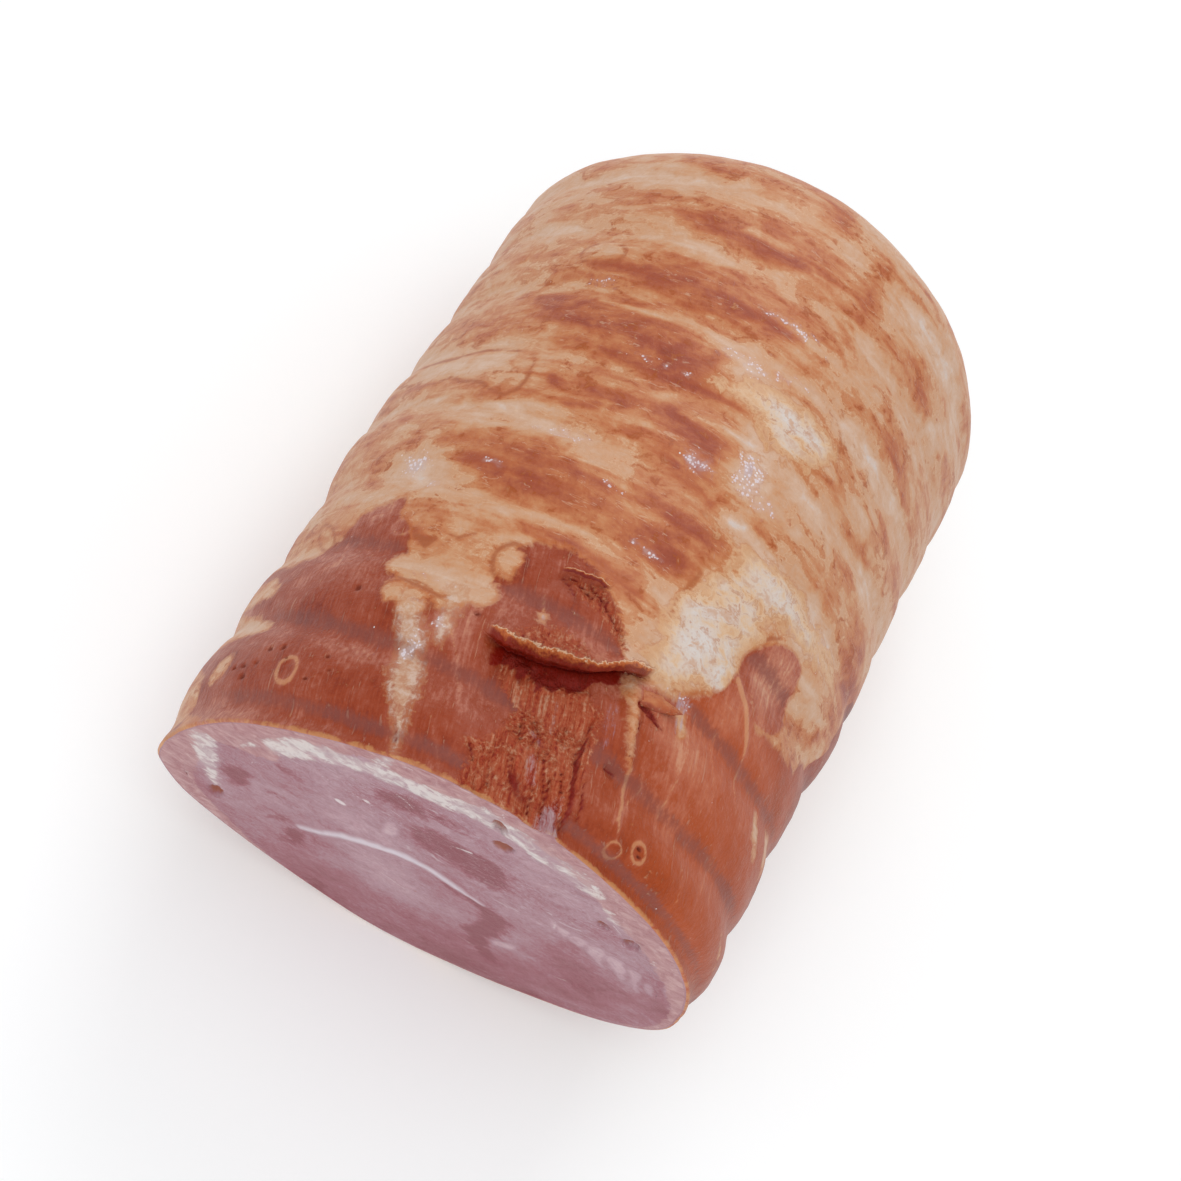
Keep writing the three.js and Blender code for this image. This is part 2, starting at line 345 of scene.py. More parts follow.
@dataclass
class Roll:
    """The plain roll: a squashed round section carried along +Y to a rounded end."""

    half_width: float = 68.0
    centre_height: float = 42.0
    upper_height: float = 71.0
    sink: float = 2.0
    length: float = 213.0
    dome_start: float = 172.0
    dome_power: float = 2.9
    width_gain: float = 0.03 / 68
    powers: Triple = (1.8, 1.8, 1.64)
    cut_turn: Span = (3.6, 3.4)
    ring_turn: Span = (-3.4, -0.8)
    lean_blend: float = 20.0
    normal_reach: float = 1.5
    core_span: Span = (150.0, 199.0)
    core_lead: float = 4.0
    core_close: float = 0.97
    samples: int = 2400
    near_overhang: float = 4.654
    side_shift: float = -0.103
    origin: Array = field(init=False)

    def __post_init__(self) -> None:
        """Tabulates the section by its arc, and finds the roll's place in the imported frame."""
        upper, lower_right, lower_left = self.powers
        right = self.half_section(1, upper, lower_right)
        left = self.half_section(-1, upper, lower_left)
        self.right_girth, self.left_girth = right[0, -1], left[0, -1]
        left[0] *= -1
        self.table = np.concatenate([left[:, :0:-1], right], axis=1)
        low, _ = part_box(Layer.WRAP.value)
        self.origin = np.array([self.side_shift, low[1] / MM + self.near_overhang, 0.0])

    def half_section(self, side: int, upper: float, lower: float) -> Array:
        """One half of the section, from the top down: x = w |cos|^(2/n), z = c + h |sin|^(2/n).

        Args:
            side: 1 for the right half, -1 for the left.
            upper: The power n of the upper quarter.
            lower: The power n of the lower quarter.

        Returns:
            Rows of arc, x and z.
        """
        turn = np.pi / 2 - np.linspace(0, np.pi, self.samples)
        power = 2 / np.where(turn >= 0, upper, lower)
        height = np.where(turn >= 0, self.upper_height, self.centre_height + self.sink)
        x = side * self.half_width * np.abs(np.cos(turn)) ** power
        z = self.centre_height + np.sign(turn) * height * np.abs(np.sin(turn)) ** power
        arc = np.concatenate([[0], np.cumsum(np.hypot(np.diff(x), np.diff(z)))])
        return np.stack([arc, x, z])

    def section(self, arc: Array) -> Array:
        """Points (x, z) of the section at arcs, which run on round the bottom."""
        turned = (arc + self.left_girth) % (self.right_girth + self.left_girth) - self.left_girth
        return np.stack([np.interp(turned, self.table[0], row) for row in self.table[1:]], axis=-1)

    def normal(self, arc: Array) -> Array:
        """Outward normals of the section: the chord across a place, turned a quarter.

        Args:
            arc: Arcs.

        Returns:
            Unit vectors (x, z).
        """
        chord = self.section(arc + self.normal_reach) - self.section(arc - self.normal_reach)
        outward = np.stack([-chord[..., 1], chord[..., 0]], axis=-1)
        return outward / np.linalg.norm(outward, axis=-1, keepdims=True)

    def moved(self, arc: Array, offset: Array) -> Array:
        """Points (x, z) of the section at arcs, moved out by an offset."""
        return self.section(arc) + self.normal(arc) * offset[..., None]

    def angle(self, arc: Array) -> Array:
        """Degrees round the section from its right side, 90 at the top."""
        point = self.section(arc)
        return np.degrees(np.arctan2(point[..., 1] - self.centre_height, point[..., 0]))

    def dome(self, station: Array, start: float, end: float) -> Array:
        """Share of the section left in the rounded end: (1 - t^n)^(1/n)."""
        reach = np.clip((station - start) / (end - start), 0, 1)
        return (1 - reach ** self.dome_power) ** (1 / self.dome_power)

    def placed(self, section: Array, station: Array, dome: Array) -> Array:
        """Sets section points in space: drawn in by the dome, leaned with the cut or with the rings.

        Args:
            section: Points (x, z).
            station: Stations of the points.
            dome: Share of the section left at each.

        Returns:
            Points (x, y, z).
        """
        x = section[..., 0] * dome * (1 + self.width_gain * station)
        up = (section[..., 1] - self.centre_height) * dome
        cut, ring = (np.tan(np.radians(turn)) for turn in (self.cut_turn, self.ring_turn))
        blend = np.clip(station / self.lean_blend, 0, 1)
        y = station + (1 - blend) * (cut[0] * up + cut[1] * x) + blend * (ring[0] * up + ring[1] * x)
        return np.stack([x, y, self.centre_height + up], axis=-1)

    def hub(self, station: float) -> Array:
        """The point of the roll's axis at a station."""
        return np.array([0.0, station, self.centre_height])

    def core(self, arcs: Array, depth: Array, start: float, end: float, rows: int = 5) -> Array:
        """A surface inside the roll: the section moved in by a depth, straight and then rounded off.

        Args:
            arcs: Arcs of the columns.
            depth: Depth under the plain section at each arc.
            start: Station where it starts to round off.
            end: Station where it closes.
            rows: Rows of the rounded part.

        Returns:
            Points, rows x columns x 3, from the cut inwards.
        """
        share = np.sin(np.linspace(0, self.core_close, rows + 1) * np.pi / 2)
        stations = np.concatenate([[0.0, self.core_lead], start + (end - start) * share])
        station = np.repeat(stations[:, None], len(arcs), axis=1)
        section = self.moved(arcs, -depth)
        section = np.broadcast_to(section, (len(stations), *section.shape))
        return self.placed(section, station, self.dome(station, start, end))


@dataclass(frozen=True)
class Net:
    """What the netting left: a groove at each ring, and the swell of the meat between two rings."""

    first: float = 5.0
    pitch: float = 21.7
    levels: tuple[float, ...] = (-0.5, 0.4, 0.6, 0.6, 1.4, 0.9, 0.6, 0.6, 0.2, 0.1, 0.0)
    rises: tuple[float, ...] = (2.4, 1.9, 1.2, 1.7, 1.1, 0.9, 1.0, 0.9, 1.2, 1.0, 0.6)
    power: float = 3.0
    rim_swell: float = 0.4
    rounding: float = 2.0
    # How far past a ring each of its marks lies, and half its width
    # groove_shade: a painted mauve shade on each groove's wall that faces the cut
    groove_shade: Span = (1.6, 2.6)
    # shine: a painted sheen on each groove's wall that faces the far end
    shine: Span = (-1.6, 2.2)
    clean: Span = (0.0, 3.0)

    def ring_share(self, station: Array) -> tuple[Array, Array]:
        """Where stations lie between two rings.

        Args:
            station: Stations.

        Returns:
            The ring before each, and how far on to the next it is, from 0 to 1.
        """
        along = np.maximum((station - self.first) / self.pitch, -1)
        ring = np.clip(np.floor(along), 0, len(self.levels) - 2).astype(int)
        return ring, np.where(along < 0, 1 + along, along - ring)

    def swell(self, station: Array) -> Array:
        """Outward offset: the groove levels in a straight line, plus rise x (1 - |2t - 1|^n).

        Args:
            station: Stations.

        Returns:
            The offset in millimetres.
        """
        ring, share = self.ring_share(station)
        levels, rises = np.array(self.levels), np.array(self.rises)
        before = station < self.first
        level = levels[ring] + (levels[ring + 1] - levels[ring]) * np.where(before, 0, share)
        swell = rises[ring] * (1 - np.abs(2 * share - 1) ** self.power)
        return level + np.where(before, self.rim_swell, 1) * swell

    def softened(self, station: Array) -> Array:
        """The swell with its grooves rounded: its mean over a short reach each way."""
        shifts = np.linspace(-self.rounding, self.rounding, 7)
        return sum(self.swell(station + shift) for shift in shifts) / len(shifts)

    def closeness(self, station: Array, centre: float, width: float) -> Array:
        """How close stations are to the nearest mark of a ring: exp(-(distance / width)^2).

        Args:
            station: Stations.
            centre: How far past its ring the mark lies.
            width: Its half width.

        Returns:
            1 on the mark, near 0 away from it.
        """
        _, share = self.ring_share(station - centre)
        distance = np.minimum(share, 1 - share) * self.pitch
        return np.exp(-(distance / width) ** 2)


@dataclass(frozen=True)
class Tear:
    """A torn place: a flap above its edge line, and a gouge with strands of meat below it."""

    edge: Spans
    left: float
    right: float
    side: float = 3.0
    narrowing: float = 0.22
    depth: float = 3.6
    fade: float = 22.0
    fade_share: float = 0.75
    rise: float = 1.5
    flap: float = 11.0
    overhang: float = 1.8
    lip: float = 3.0
    wall: float = 0.9
    roll: float = 0.0
    ragged: float = 0.1

    def above(self, arc: Array, station: Array) -> Array:
        """How far places lie past the edge line; three sine waves make it ragged.

        Args:
            arc: Arcs.
            station: Stations.

        Returns:
            Millimetres, negative in the gouge.
        """
        arcs, stations = zip(*self.edge)
        waves = np.sin(arc * 1.13) + np.sin(arc * 2.9 + 1.0) + 0.7 * np.sin(arc * 6.7)
        return station - np.interp(arc, arcs, stations) - self.ragged * waves

    def across(self, arc: Array, above: Array) -> Array:
        """Whether places lie between the tear's sides, which draw in below the edge.

        Args:
            arc: Arcs.
            above: Millimetres past the edge line.

        Returns:
            1 between the sides, 0 outside.
        """
        left = self.left + np.maximum(-above, 0) * self.narrowing
        leftward = smooth(arc, left - self.side, left + self.side)
        return leftward * (1 - smooth(arc, self.right - self.side, self.right + self.side))

    def gouge(self, arc: Array, station: Array) -> Array:
        """How deep the gouge is, which is deepest just under the edge and fades away from it.

        Args:
            arc: Arcs.
            station: Stations.

        Returns:
            Shares of its depth.
        """
        above = self.above(arc, station)
        depth = (1 - self.fade_share * smooth(-above, 0, self.fade)) * smooth(-above, -0.1, self.wall)
        return np.where(above < 0, self.across(arc, above) * depth, 0)

    def relief(self, arc: Array, station: Array) -> Array:
        """Outward offset: the flap's rise above the edge, less the gouge's depth below it.

        A rolled lip adds a crest 1.7 mm past the edge, a nick on the edge, and a dip 5 mm past it, each
        as exp(-(distance / width)^2).

        Args:
            arc: Arcs.
            station: Stations.

        Returns:
            The offset in millimetres.
        """
        above = self.above(arc, station)
        flap = self.rise * (1 - smooth(above, 0, self.flap)) * smooth(above, -self.wall, 0.3)
        crest = np.exp(-((above - 1.7) / 1.2) ** 2) - 1.1 * np.exp(-(above / 0.8) ** 2)
        dip = np.exp(-((above - 5.0) / 2.6) ** 2) * smooth(arc, -8, 2)
        raised = (flap + self.roll * (crest - 0.8 * dip)) * self.across(arc, above)
        return raised - self.depth * self.gouge(arc, station)

    def past(self, arc: Array, station: Array) -> tuple[Array, Array]:
        """How the lip's colours are spread over a tear of any size.

        Args:
            arc: Arcs.
            station: Stations.

        Returns:
            Millimetres past the edge at the main tear's size, and 1 close to the edge.
        """
        above = self.above(arc, station)
        scaled = above * 3.0 / self.lip
        near = smooth(self.across(arc, above), 0.1, 0.5) * (1 - smooth(np.abs(scaled), 4.0, 5.5))
        return scaled, near

    def lip_share(self, arc: Array, station: Array) -> Array:
        """How much places belong to the lip: exp(-(distance / lip)^2), sharper below the edge.

        Args:
            arc: Arcs.
            station: Stations.

        Returns:
            1 on the flap's edge, less away from it.
        """
        above = self.above(arc, station)
        reach = np.where(above >= 0, self.lip, 0.4 * self.wall)
        return np.exp(-(above / reach) ** 2) * self.across(arc, above)


# The large flap, the small torn place above it, and two soft steps where the crust lifted unopened
MAIN_TEAR = Tear(edge=((-34, 38), (-20, 38.5), (-6, 40), (2, 43), (9, 49), (24, 51)), left=-17, right=12.5,
                 depth=4.2, rise=1.3, roll=1.1)
NOTCH = Tear(edge=((-14, 58.5), (-10, 60), (-5, 61), (0, 60)), left=-11.5, right=-2.5, side=1.0,
             narrowing=-0.5, depth=1.3, fade=8, fade_share=1.0, rise=0.5, flap=3, overhang=0.5, lip=1.0)
FAR_LIP = Tear(edge=((-12, 107), (-6, 108), (1, 110), (8, 111)), left=-8, right=6, side=2, narrowing=0.0,
               depth=0.0, fade=6, fade_share=1.0, rise=0.35, flap=4, overhang=0.0, lip=1.0, wall=1.6)
CURL = Tear(edge=((9, 90), (16, 93)), left=11, right=14, side=1.0, narrowing=0.0, depth=0.0, fade=4,
            fade_share=1.0, rise=0.5, flap=3, overhang=0.0, lip=1.0, wall=1.4)

# Where the smoked lean meat ends, as the station of its upper edge at each arc
LEAN_EDGE = (
    (-190, 40), (-120, 44), (-96, 42), (-80, 42), (-73, 45), (-71, 50), (-66, 56), (-60, 60), (-52, 62),
    (-49, 56), (-46, 48), (-42, 40), (-30, 39), (-24, 42), (-22.5, 56), (-18, 62), (-10, 64), (-3, 63),
    (2, 57), (7, 51), (10, 47), (18, 47), (24, 52), (30, 57), (33, 66), (40, 65), (46, 58), (52, 60),
    (60, 62), (70, 64), (78, 68), (84, 92), (96, 104), (140, 70), (190, 40))
# Spots of lean past that edge
LEAN_SPOTS = (
    Blot(1, 3, (
        Band((38, 68, 5), (40, 76, 4.4), (45, 76.5, 4.6), (47, 66, 6)), Oval(74, 64, 6, 5),
        Oval(88, 84, 8, 14),
    )),
)
# Smoked fat within the lean: the left strip with its rounded top, the ridge beside the tear, ovals, veins
FAT_IN_LEAN = Blot(1, 4, (
    Band((-45, 46, 3), (-38, 46.5, 4), (-28, 46.5, 4.2), (-23, 45.5, 3.2)), Oval(-41, 39, 3.2, 3),
    Oval(-36, 38, 3.8, 3.6), Oval(-22, 55, 3.0, 3.9, 8), Oval(-10.5, 46.5, 1.3, 1.4),
    Band((9.5, 52, 1.6), (11.5, 47, 1.5), (13.4, 41, 1.0), (15.6, 35, 0.9), (18.6, 30, 0.6)),
    Band((-100, 36, 4), (-86, 36, 3.4), (-80, 35, 1.6)), Band((-104, 25, 7), (-88, 25, 4.5), (-74, 25, 2)),
    Band((-104, 8, 9), (-92, 8, 5)), Oval(-80, 13, 4, 3, 30), Band((-88, 2.5, 1.6), (-78, 1, 1.0)),
    Band((24, 47, 2.2), (26, 44, 1.5)), Band((61, 46, 1.3), (63, 43.5, 2), (67, 40, 1.4)),
    Band((71, 21, 0.4), (76, 18, 0.8), (80, 13, 0.6)), Oval(77, 44, 6, 2.6, -40),
))
# Where only a thin film of fat is left on the lean
FILM = Blot(1, 5, (
    Band((-35, 36, 2.4), (-32, 30, 3.0), (-29, 24, 3.2), (-27, 18, 2.8), (-25, 12, 1.6), (-23.5, 7, 0.9),
         (-22, 1, 0.3)), Band((-28, 43, 2), (-27, 38, 1.4), (-26, 33, 0.5)),
))
# How far smoke coloured the fat, as pushes up from tan to red-brown and down to cream
SMOKE = (
    Blot(0.32, 8, (
        Band((-50, 128, 4), (-36, 126, 7), (-22, 125, 7), (-8, 124, 4)),
        Band((-40, 119, 2), (-20, 116, 2.2), (2, 115.5, 1.8)),
        Band((-43, 142, 3), (-28, 143.5, 5), (-12, 144, 4.6), (0, 143, 3.4)),
        Band((-5, 112.5, 1.2), (3, 112.5, 1.2)), Band((-9, 106, 1.8), (0, 106, 3), (6, 107, 1.6)),
        Band((-7, 96, 1.6), (0, 94.5, 2.4), (7, 93, 1.4)),
        Band((-4, 85, 2.4), (4, 84.5, 3.2), (10, 83, 2.6)), Band((-8, 74.5, 2), (0, 74, 3), (8, 74, 2.2)),
        Band((-44, 76, 2.4), (-34, 74, 3), (-14, 75, 2.6)),
        Band((-52, 81.5, 1), (-32, 82.6, 2.2), (-14, 81, 1.2)), Band((-30, 165, 1.2), (-18, 167.4, 1.3)),
        Band((-15, 165, 0.7), (-5, 164, 0.8), (6, 164.5, 0.9)),
        Band((15, 184, 1.6), (16, 174, 2.3), (16.5, 161, 1.9)), Oval(0, 171, 4, 3.4),
        Oval(-12, 171, 4, 2.4), Band((25, 164, 1.2), (35, 164.3, 1.9), (46, 164, 1.2)),
        Band((24, 144, 1.4), (36, 144, 1.8), (55, 141, 1.4)), Band((34, 149, 1), (42, 147, 1.8)),
        Band((19, 118, 1.6), (30, 119.4, 1.7), (48, 115, 1.6)), Oval(31, 126.5, 5, 1.8),
        Band((42, 107, 1), (50, 107, 1.5)), Band((56, 105, 1.6), (62, 103, 3.2), (70, 101, 2.2)),
        Oval(55, 128.5, 2.4, 1.1), Band((-40, 186, 0.8), (-28, 185.6, 1.3), (-27, 188, 0.8)),
        Oval(0, 187, 3.4, 4.4), Oval(-18, 186, 3, 1), Band((-24, 65, 0.8), (-14, 65.4, 1.1), (0, 64, 1.4)),
        Band((11, 85, 1.4), (17, 83, 2.4)), Oval(62, 82, 5, 1.4),
        Band((55, 69, 1), (62, 71, 1.3), (72, 76, 1.2)), Band((64, 93, 3), (74, 92, 6), (86, 98, 5)),
    )),
    Blot(0.15, 9, (
        Oval(-62, 82, 3.4, 3), Oval(-28, 100, 4, 4),
        Band((-40, 105, 1), (-35, 103.4, 1.1), (-31, 105, 0.8)), Oval(-45, 169, 9, 3),
        Oval(-38, 169.5, 4, 2), Oval(-62, 131, 6, 1.6), Oval(-73, 74, 3, 3), Oval(-54, 96, 6, 2.6),
        Band((24, 99, 1.6), (45, 98.6, 2)), Band((20, 95, 1), (36, 93, 1.2)),
        Band((-12, 153, 0.8), (8, 153, 0.8), (17, 155.5, 0.7)), Band((-24, 175, 0.9), (-4, 175.4, 0.9)),
        Oval(-14, 162, 7, 2), Oval(66, 144, 4, 2.4, 20), Oval(68, 165, 5, 2, 20),
        Band((19, 184, 1), (29, 185, 1.2), (32, 188, 0.8)), Band((42, 167, 1), (52, 169, 0.8)),
        Band((4, 131, 0.7), (21, 131, 0.8)), Oval(-20, 106, 12, 4), Oval(-10, 120, 12, 4),
        Oval(4, 102, 6, 3), Oval(2, 78, 9, 8), Oval(-24, 78, 26, 6), Oval(-74, 87, 6, 1.4),
        Oval(-32, 55, 14, 3), Oval(-44, 53, 3, 3), Oval(-96, 48, 20, 1.6), Oval(-92, 55, 14, 1.3),
        Oval(-70, 120, 9, 4),
    )),
    Blot(-0.26, 14, (
        Oval(19, 64, 10, 11), Oval(17, 53, 5, 5, -30), Oval(22, 76, 6, 9, -20), Oval(33, 87, 10, 4, 5),
        Oval(27, 60, 5, 4), Oval(12, 125, 14, 6, -6), Oval(11, 118, 6, 3), Oval(34, 63.5, 3, 1.6, -30),
        Oval(10, 104, 3.4, 4.6), Oval(-56, 72, 4, 2), Oval(-22, 55, 2, 3),
    )),
    Blot(-0.18, 8, (
        Oval(58, 80, 6, 4.6), Oval(48, 89, 14, 3), Oval(30, 111, 14, 3.4), Oval(62, 111, 8, 4),
        Oval(60, 131, 6, 5), Oval(40, 136, 22, 2.6), Oval(-45, 147, 5.4, 3.5), Oval(-60, 158, 20, 2),
        Oval(-20, 155.5, 14, 1.6), Oval(-35, 180, 28, 2.4), Oval(50, 182, 7, 5), Oval(60, 174, 6, 4),
        Oval(53, 165, 5, 4.4), Oval(28, 179, 8, 2.2), Oval(40, 158, 26, 2), Oval(10, 157, 12, 2.4),
        Oval(-64, 126.5, 5, 1.6), Oval(-71, 130, 3, 1.8), Oval(-60, 92, 16, 2.4), Oval(-25, 90, 16, 1.8),
        Oval(-73, 82.5, 2.4, 3), Oval(-64, 106, 16, 3.6), Oval(-76, 114, 14, 2.4), Oval(-88, 58, 8, 3.4),
        Oval(-75, 51, 5, 1.6, -40), Oval(-85, 45.5, 10, 2), Oval(-33, 45.6, 9, 1.9),
        Oval(-38, 38.4, 4.6, 2.4), Oval(-86, 36, 8, 1.8), Oval(-82, 24, 9, 2), Oval(-34, 60, 9, 3.6),
        Oval(15, 43, 1.4, 8, 22), Oval(20, 102, 8, 1.8), Oval(0, 129, 8, 2), Oval(42, 120, 3, 1.8),
        Oval(75, 116, 9, 5), Oval(-72, 64, 16, 2.6), Oval(-60, 68, 10, 2.2), Oval(63, 43.5, 3, 2),
    )),
    Blot(-0.11, 20, (
        Oval(12, 188, 14, 5), Oval(46, 176, 20, 10), Oval(50, 160, 20, 8), Oval(30, 150, 26, 7),
        Oval(-40, 175, 30, 5), Oval(30, 127, 9, 8), Oval(54, 114, 8, 5), Oval(-48, 102, 12, 5),
        Oval(-28, 88, 8, 6), Oval(-30, 77, 8, 5), Oval(30, 103, 7, 4), Oval(66, 102, 6, 5),
        Oval(54, 78, 14, 7), Oval(38, 130, 11, 9), Oval(-54, 82, 9, 6), Oval(-22, 76, 8, 5),
        Oval(-33, 45.5, 9, 5), Oval(20, 175, 50, 5), Oval(18, 187, 9, 6),
    )),
    Blot(-0.14, 14, (Oval(12, 188, 12, 6), Oval(55, 79, 10, 5), Oval(38, 130, 8, 5))),
    Blot(0.09, 16, (
        Oval(4, 126, 14, 6), Oval(-12, 102, 9, 6), Oval(66, 186, 8, 5), Oval(-30, 161, 8, 4),
        Oval(-42, 114, 6, 5), Oval(8, 124, 5, 3), Oval(6, 162, 8, 4), Oval(-66, 66, 6, 4),
        Oval(-10, 207, 60, 12), Oval(-30, 54, 8, 4), Oval(70, 87, 7, 6), Oval(-62, 131, 6, 4),
        Oval(-45, 147, 7, 5), Oval(70, 150, 8, 9), Oval(70, 126, 7, 7),
    )),
    Blot(0.08, 12, (Oval(0, 206, 44, 9), Oval(72, 186, 8, 6))),
    Blot(0.24, 3, (
        Band((-38, 106, 0.6), (-36, 104, 1.2), (-33, 102.6, 0.8)), Oval(-25, 101, 1.6, 1.4),
        Oval(-22, 99.6, 1, 1.6), Oval(-27, 104, 1.2, 0.8), Oval(-20, 102.6, 1.4, 0.7),
        Oval(-30, 99, 1, 0.8), Oval(-41, 99, 1.4, 0.6), Oval(-14, 98, 1.6, 0.8),
    )),
    Blot(-0.4, 1.8, (
        Band((-8, 108.4, 0.3), (-2, 109.6, 0.5), (4, 110.8, 0.5), (9, 111.4, 0.2)),
        Band((12, 91.6, 0.3), (16, 93.4, 0.4)),
        Band((-38, 132, 0.3), (-26, 131.4, 0.4), (-14, 131.6, 0.2)),
    )),
)
# Clear patches of cream fat, the pinkish white of set fat
FAT_PATCHES = Blot(1, 7, (
    Band((15, 52.5, 3.6), (18.5, 59, 7), (22, 66, 10.6), (21, 72, 9.2), (24, 78, 8.6), (28, 84.5, 7),
         (36, 87.6, 3.8), (48, 86.6, 2.4), (60, 87.6, 1.6)), Oval(27.6, 59.4, 4.4, 3.6),
    Oval(17, 64, 5.5, 5), Oval(17, 53, 4, 4),
    Band((-5, 121, 0.6), (3, 122.6, 2.2), (12, 122.8, 4.8), (21, 124.6, 3.4)), Oval(15, 117.6, 5, 2.6),
    Oval(10, 104, 2.4, 4),
))
# Their whitest cores
FAT_CORES = Blot(1, 9, (
    Oval(18.5, 64.5, 6.5, 6), Oval(32, 88, 10, 2), Oval(12, 122.8, 9, 4.2), Oval(2, 122.4, 3, 1.2),
    Oval(23, 76, 2, 2), Oval(28, 60, 3, 2.6),
))
# Tone of the lean: pushes up to deep orange-brown and down to pink, and to pale in the veins
TONE = (
    Blot(0.2, 14, (
        Oval(70, 54, 14, 7), Oval(66, 32, 14, 7), Oval(70, 7, 16, 10), Oval(40, 10, 22, 8),
        Oval(-38, 6, 16, 4.4), Oval(-64, 31, 9, 4), Oval(-56, 13, 18, 5), Oval(-44, 30.5, 6, 1.6),
        Oval(-60, 51, 10, 2.6), Oval(-8, 56, 9, 5, -20), Oval(-22, 30, 5, 2), Oval(96, 70, 14, 60),
        Band((10, 40, 2), (12, 24, 4), (14, 4, 4)),
    )),
    Blot(-0.14, 10, (
        Oval(42, 43, 20, 4), Oval(38, 22.5, 18, 2), Oval(42, 72, 9, 7), Oval(43, 74, 9, 8),
        Oval(72, 66, 8, 5), Oval(-62, 42, 16, 5), Oval(-56, 57, 7, 3), Oval(-50, 24, 14, 3),
        Oval(-72, 20, 6, 4), Oval(-16, 46, 8, 3), Oval(-20, 22, 4, 5), Oval(-12, 20, 5, 5),
        Oval(42, 66, 14, 7), Oval(-3, 45, 8, 2.4),
    )),
    Blot(-0.17, 8, (Oval(43, 73, 9, 9), Oval(28, 42, 5, 6), Oval(34, 58, 9, 5), Oval(45, 62, 6, 5))),
    Blot(0.12, 8, (Oval(68, 54, 7, 6),)),
)
# Thin pale veins and rings in the lean
VEINS = Blot(1, 1.5, (
    Band((33, 64, 1.0), (39, 61, 0.9), (44, 56, 0.8), (46.5, 51, 0.4), (47.5, 46, 0.5), (51, 42, 0.1)),
    Band((61.5, 55, 0.2), (62, 48, 0.4), (64, 43, 0.8), (69, 39, 0.4)),
    Band((34, 55, 0.1), (36, 47, 0.25), (40, 42, 0.2), (43, 37, 0.05)),
    Band((53, 56, 0.1), (55, 52, 0.3), (54, 47, 0.15)),
    Band((27, 42, 0.1), (30, 36, 0.3), (31, 28, 0.35), (32, 24, 0.2), (35, 20, 0)),
    Band((42, 30, 0.05), (42, 25, 0.2), (45, 20, 0.25), (47, 13, 0.3), (48, 1, 0.2)),
    Band((57, 27, 0.1), (57, 23, 0.3), (60, 20, 0.1)),
    Band((19, 30, 0.7), (21, 24, 0.7), (23, 18, 0.5), (24, 13, 0.2)),
    Band((-27, 38, 0.4), (-22, 32, 0.25), (-18, 25, 0.25), (-15, 20, 0.1)),
    Band((-20, 16, 0.1), (-16, 9, 0.2), (-13, 2, 0.1)), Band((-13, 53, 0.2), (-11, 48, 0.5)),
    Hoop(Oval(-55, 14, 2.5, 3.4, 15), 0.6), Hoop(Oval(25, 9.5, 2, 3), 0.5),
    Hoop(Oval(30.5, 15.5, 2, 3.8, 8), 0.6), Hoop(Oval(36, 12, 0.8, 1.8), 0.1),
    Hoop(Oval(-46.5, 13, 1.2, 1.2), 0.1), Hoop(Oval(-49.5, 55, 2.2, 2.2), 0.3),
    Hoop(Oval(-58, 56, 1.6, 1.4), 0.1), Band((21, 34, 0.1), (24, 28, 0.3), (22, 22, 0.3), (21, 17, 0.1)),
    Band((50, 34, 0.1), (53, 28, 0.3), (52, 20, 0.2)),
))
# Small pits in the lean
PITS = Blot(1, 1.2, (
    Oval(-50.5, 37.5, 0.8, 0.8), Oval(-60, 19.5, 0.7, 0.7), Oval(-64, 18.5, 0.8, 0.6),
    Oval(-65.5, 14.5, 0.5, 0.5), Oval(-73, 13, 0.6, 0.5), Oval(-69.5, 13.5, 0.9, 0.5),
    Oval(-68, 11, 0.9, 0.7), Oval(-57, 17, 0.5, 0.4), Oval(-49, 13, 0.6, 0.5), Oval(-44.5, 17, 0.5, 0.3),
    Oval(-47, 20.3, 0.6, 0.5), Oval(30.5, 17, 0.7, 0.8), Oval(31.4, 14.4, 0.6, 0.7),
    Oval(-22, 41, 0.8, 0.5), Oval(36, 13, 0.3, 0.4),
))
# Where the crust is frosted with set protein, in white granules
FROST = Blot(1, 5, (
    Oval(-57, 73, 6, 4.4), Oval(-48, 68, 3, 2), Oval(0, 98, 5.4, 3.8), Oval(11, 104, 4.6, 6),
    Oval(4, 146, 8, 2.6), Oval(-27, 90.6, 8, 2), Oval(0, 130, 8, 2.6), Oval(-40, 138, 4, 1.6),
    Oval(10, 133, 10, 1.8), Oval(-31, 28, 2.4, 5), Oval(-31, 45, 6, 1), Oval(-13, 82, 4, 2.2),
    Oval(22, 50, 4, 1.4), Oval(-1, 73, 5, 2), Oval(-28, 37, 2, 2), Oval(17, 101, 6, 2),
    Oval(-38, 77, 4, 1), Oval(-18, 119, 8, 1.4),
))
# Bluish-white membranes
VEILS = Blot(1, 2.4, (
    Band((9.8, 14, 0.4), (10, 8, 1.4), (11.2, 1, 2.8)), Band((1.8, 20, 0.8), (4, 12, 1.0)),
    Band((9.6, 41, 0.3), (11.6, 35, 0.5), (12.6, 31, 0.2)), Band((-1, 24.6, 0.2), (2, 23.4, 0.5)),
    Oval(23, 49.6, 2.2, 1.8), Oval(24.6, 45.5, 1.2, 1.4), Oval(-57, 72.5, 2.6, 1.6),
    Oval(10, 105, 1.8, 2.4), Oval(-10.5, 46.4, 0.7, 0.8), Band((0, 33, 0.1), (2.5, 27, 0.2)),
))
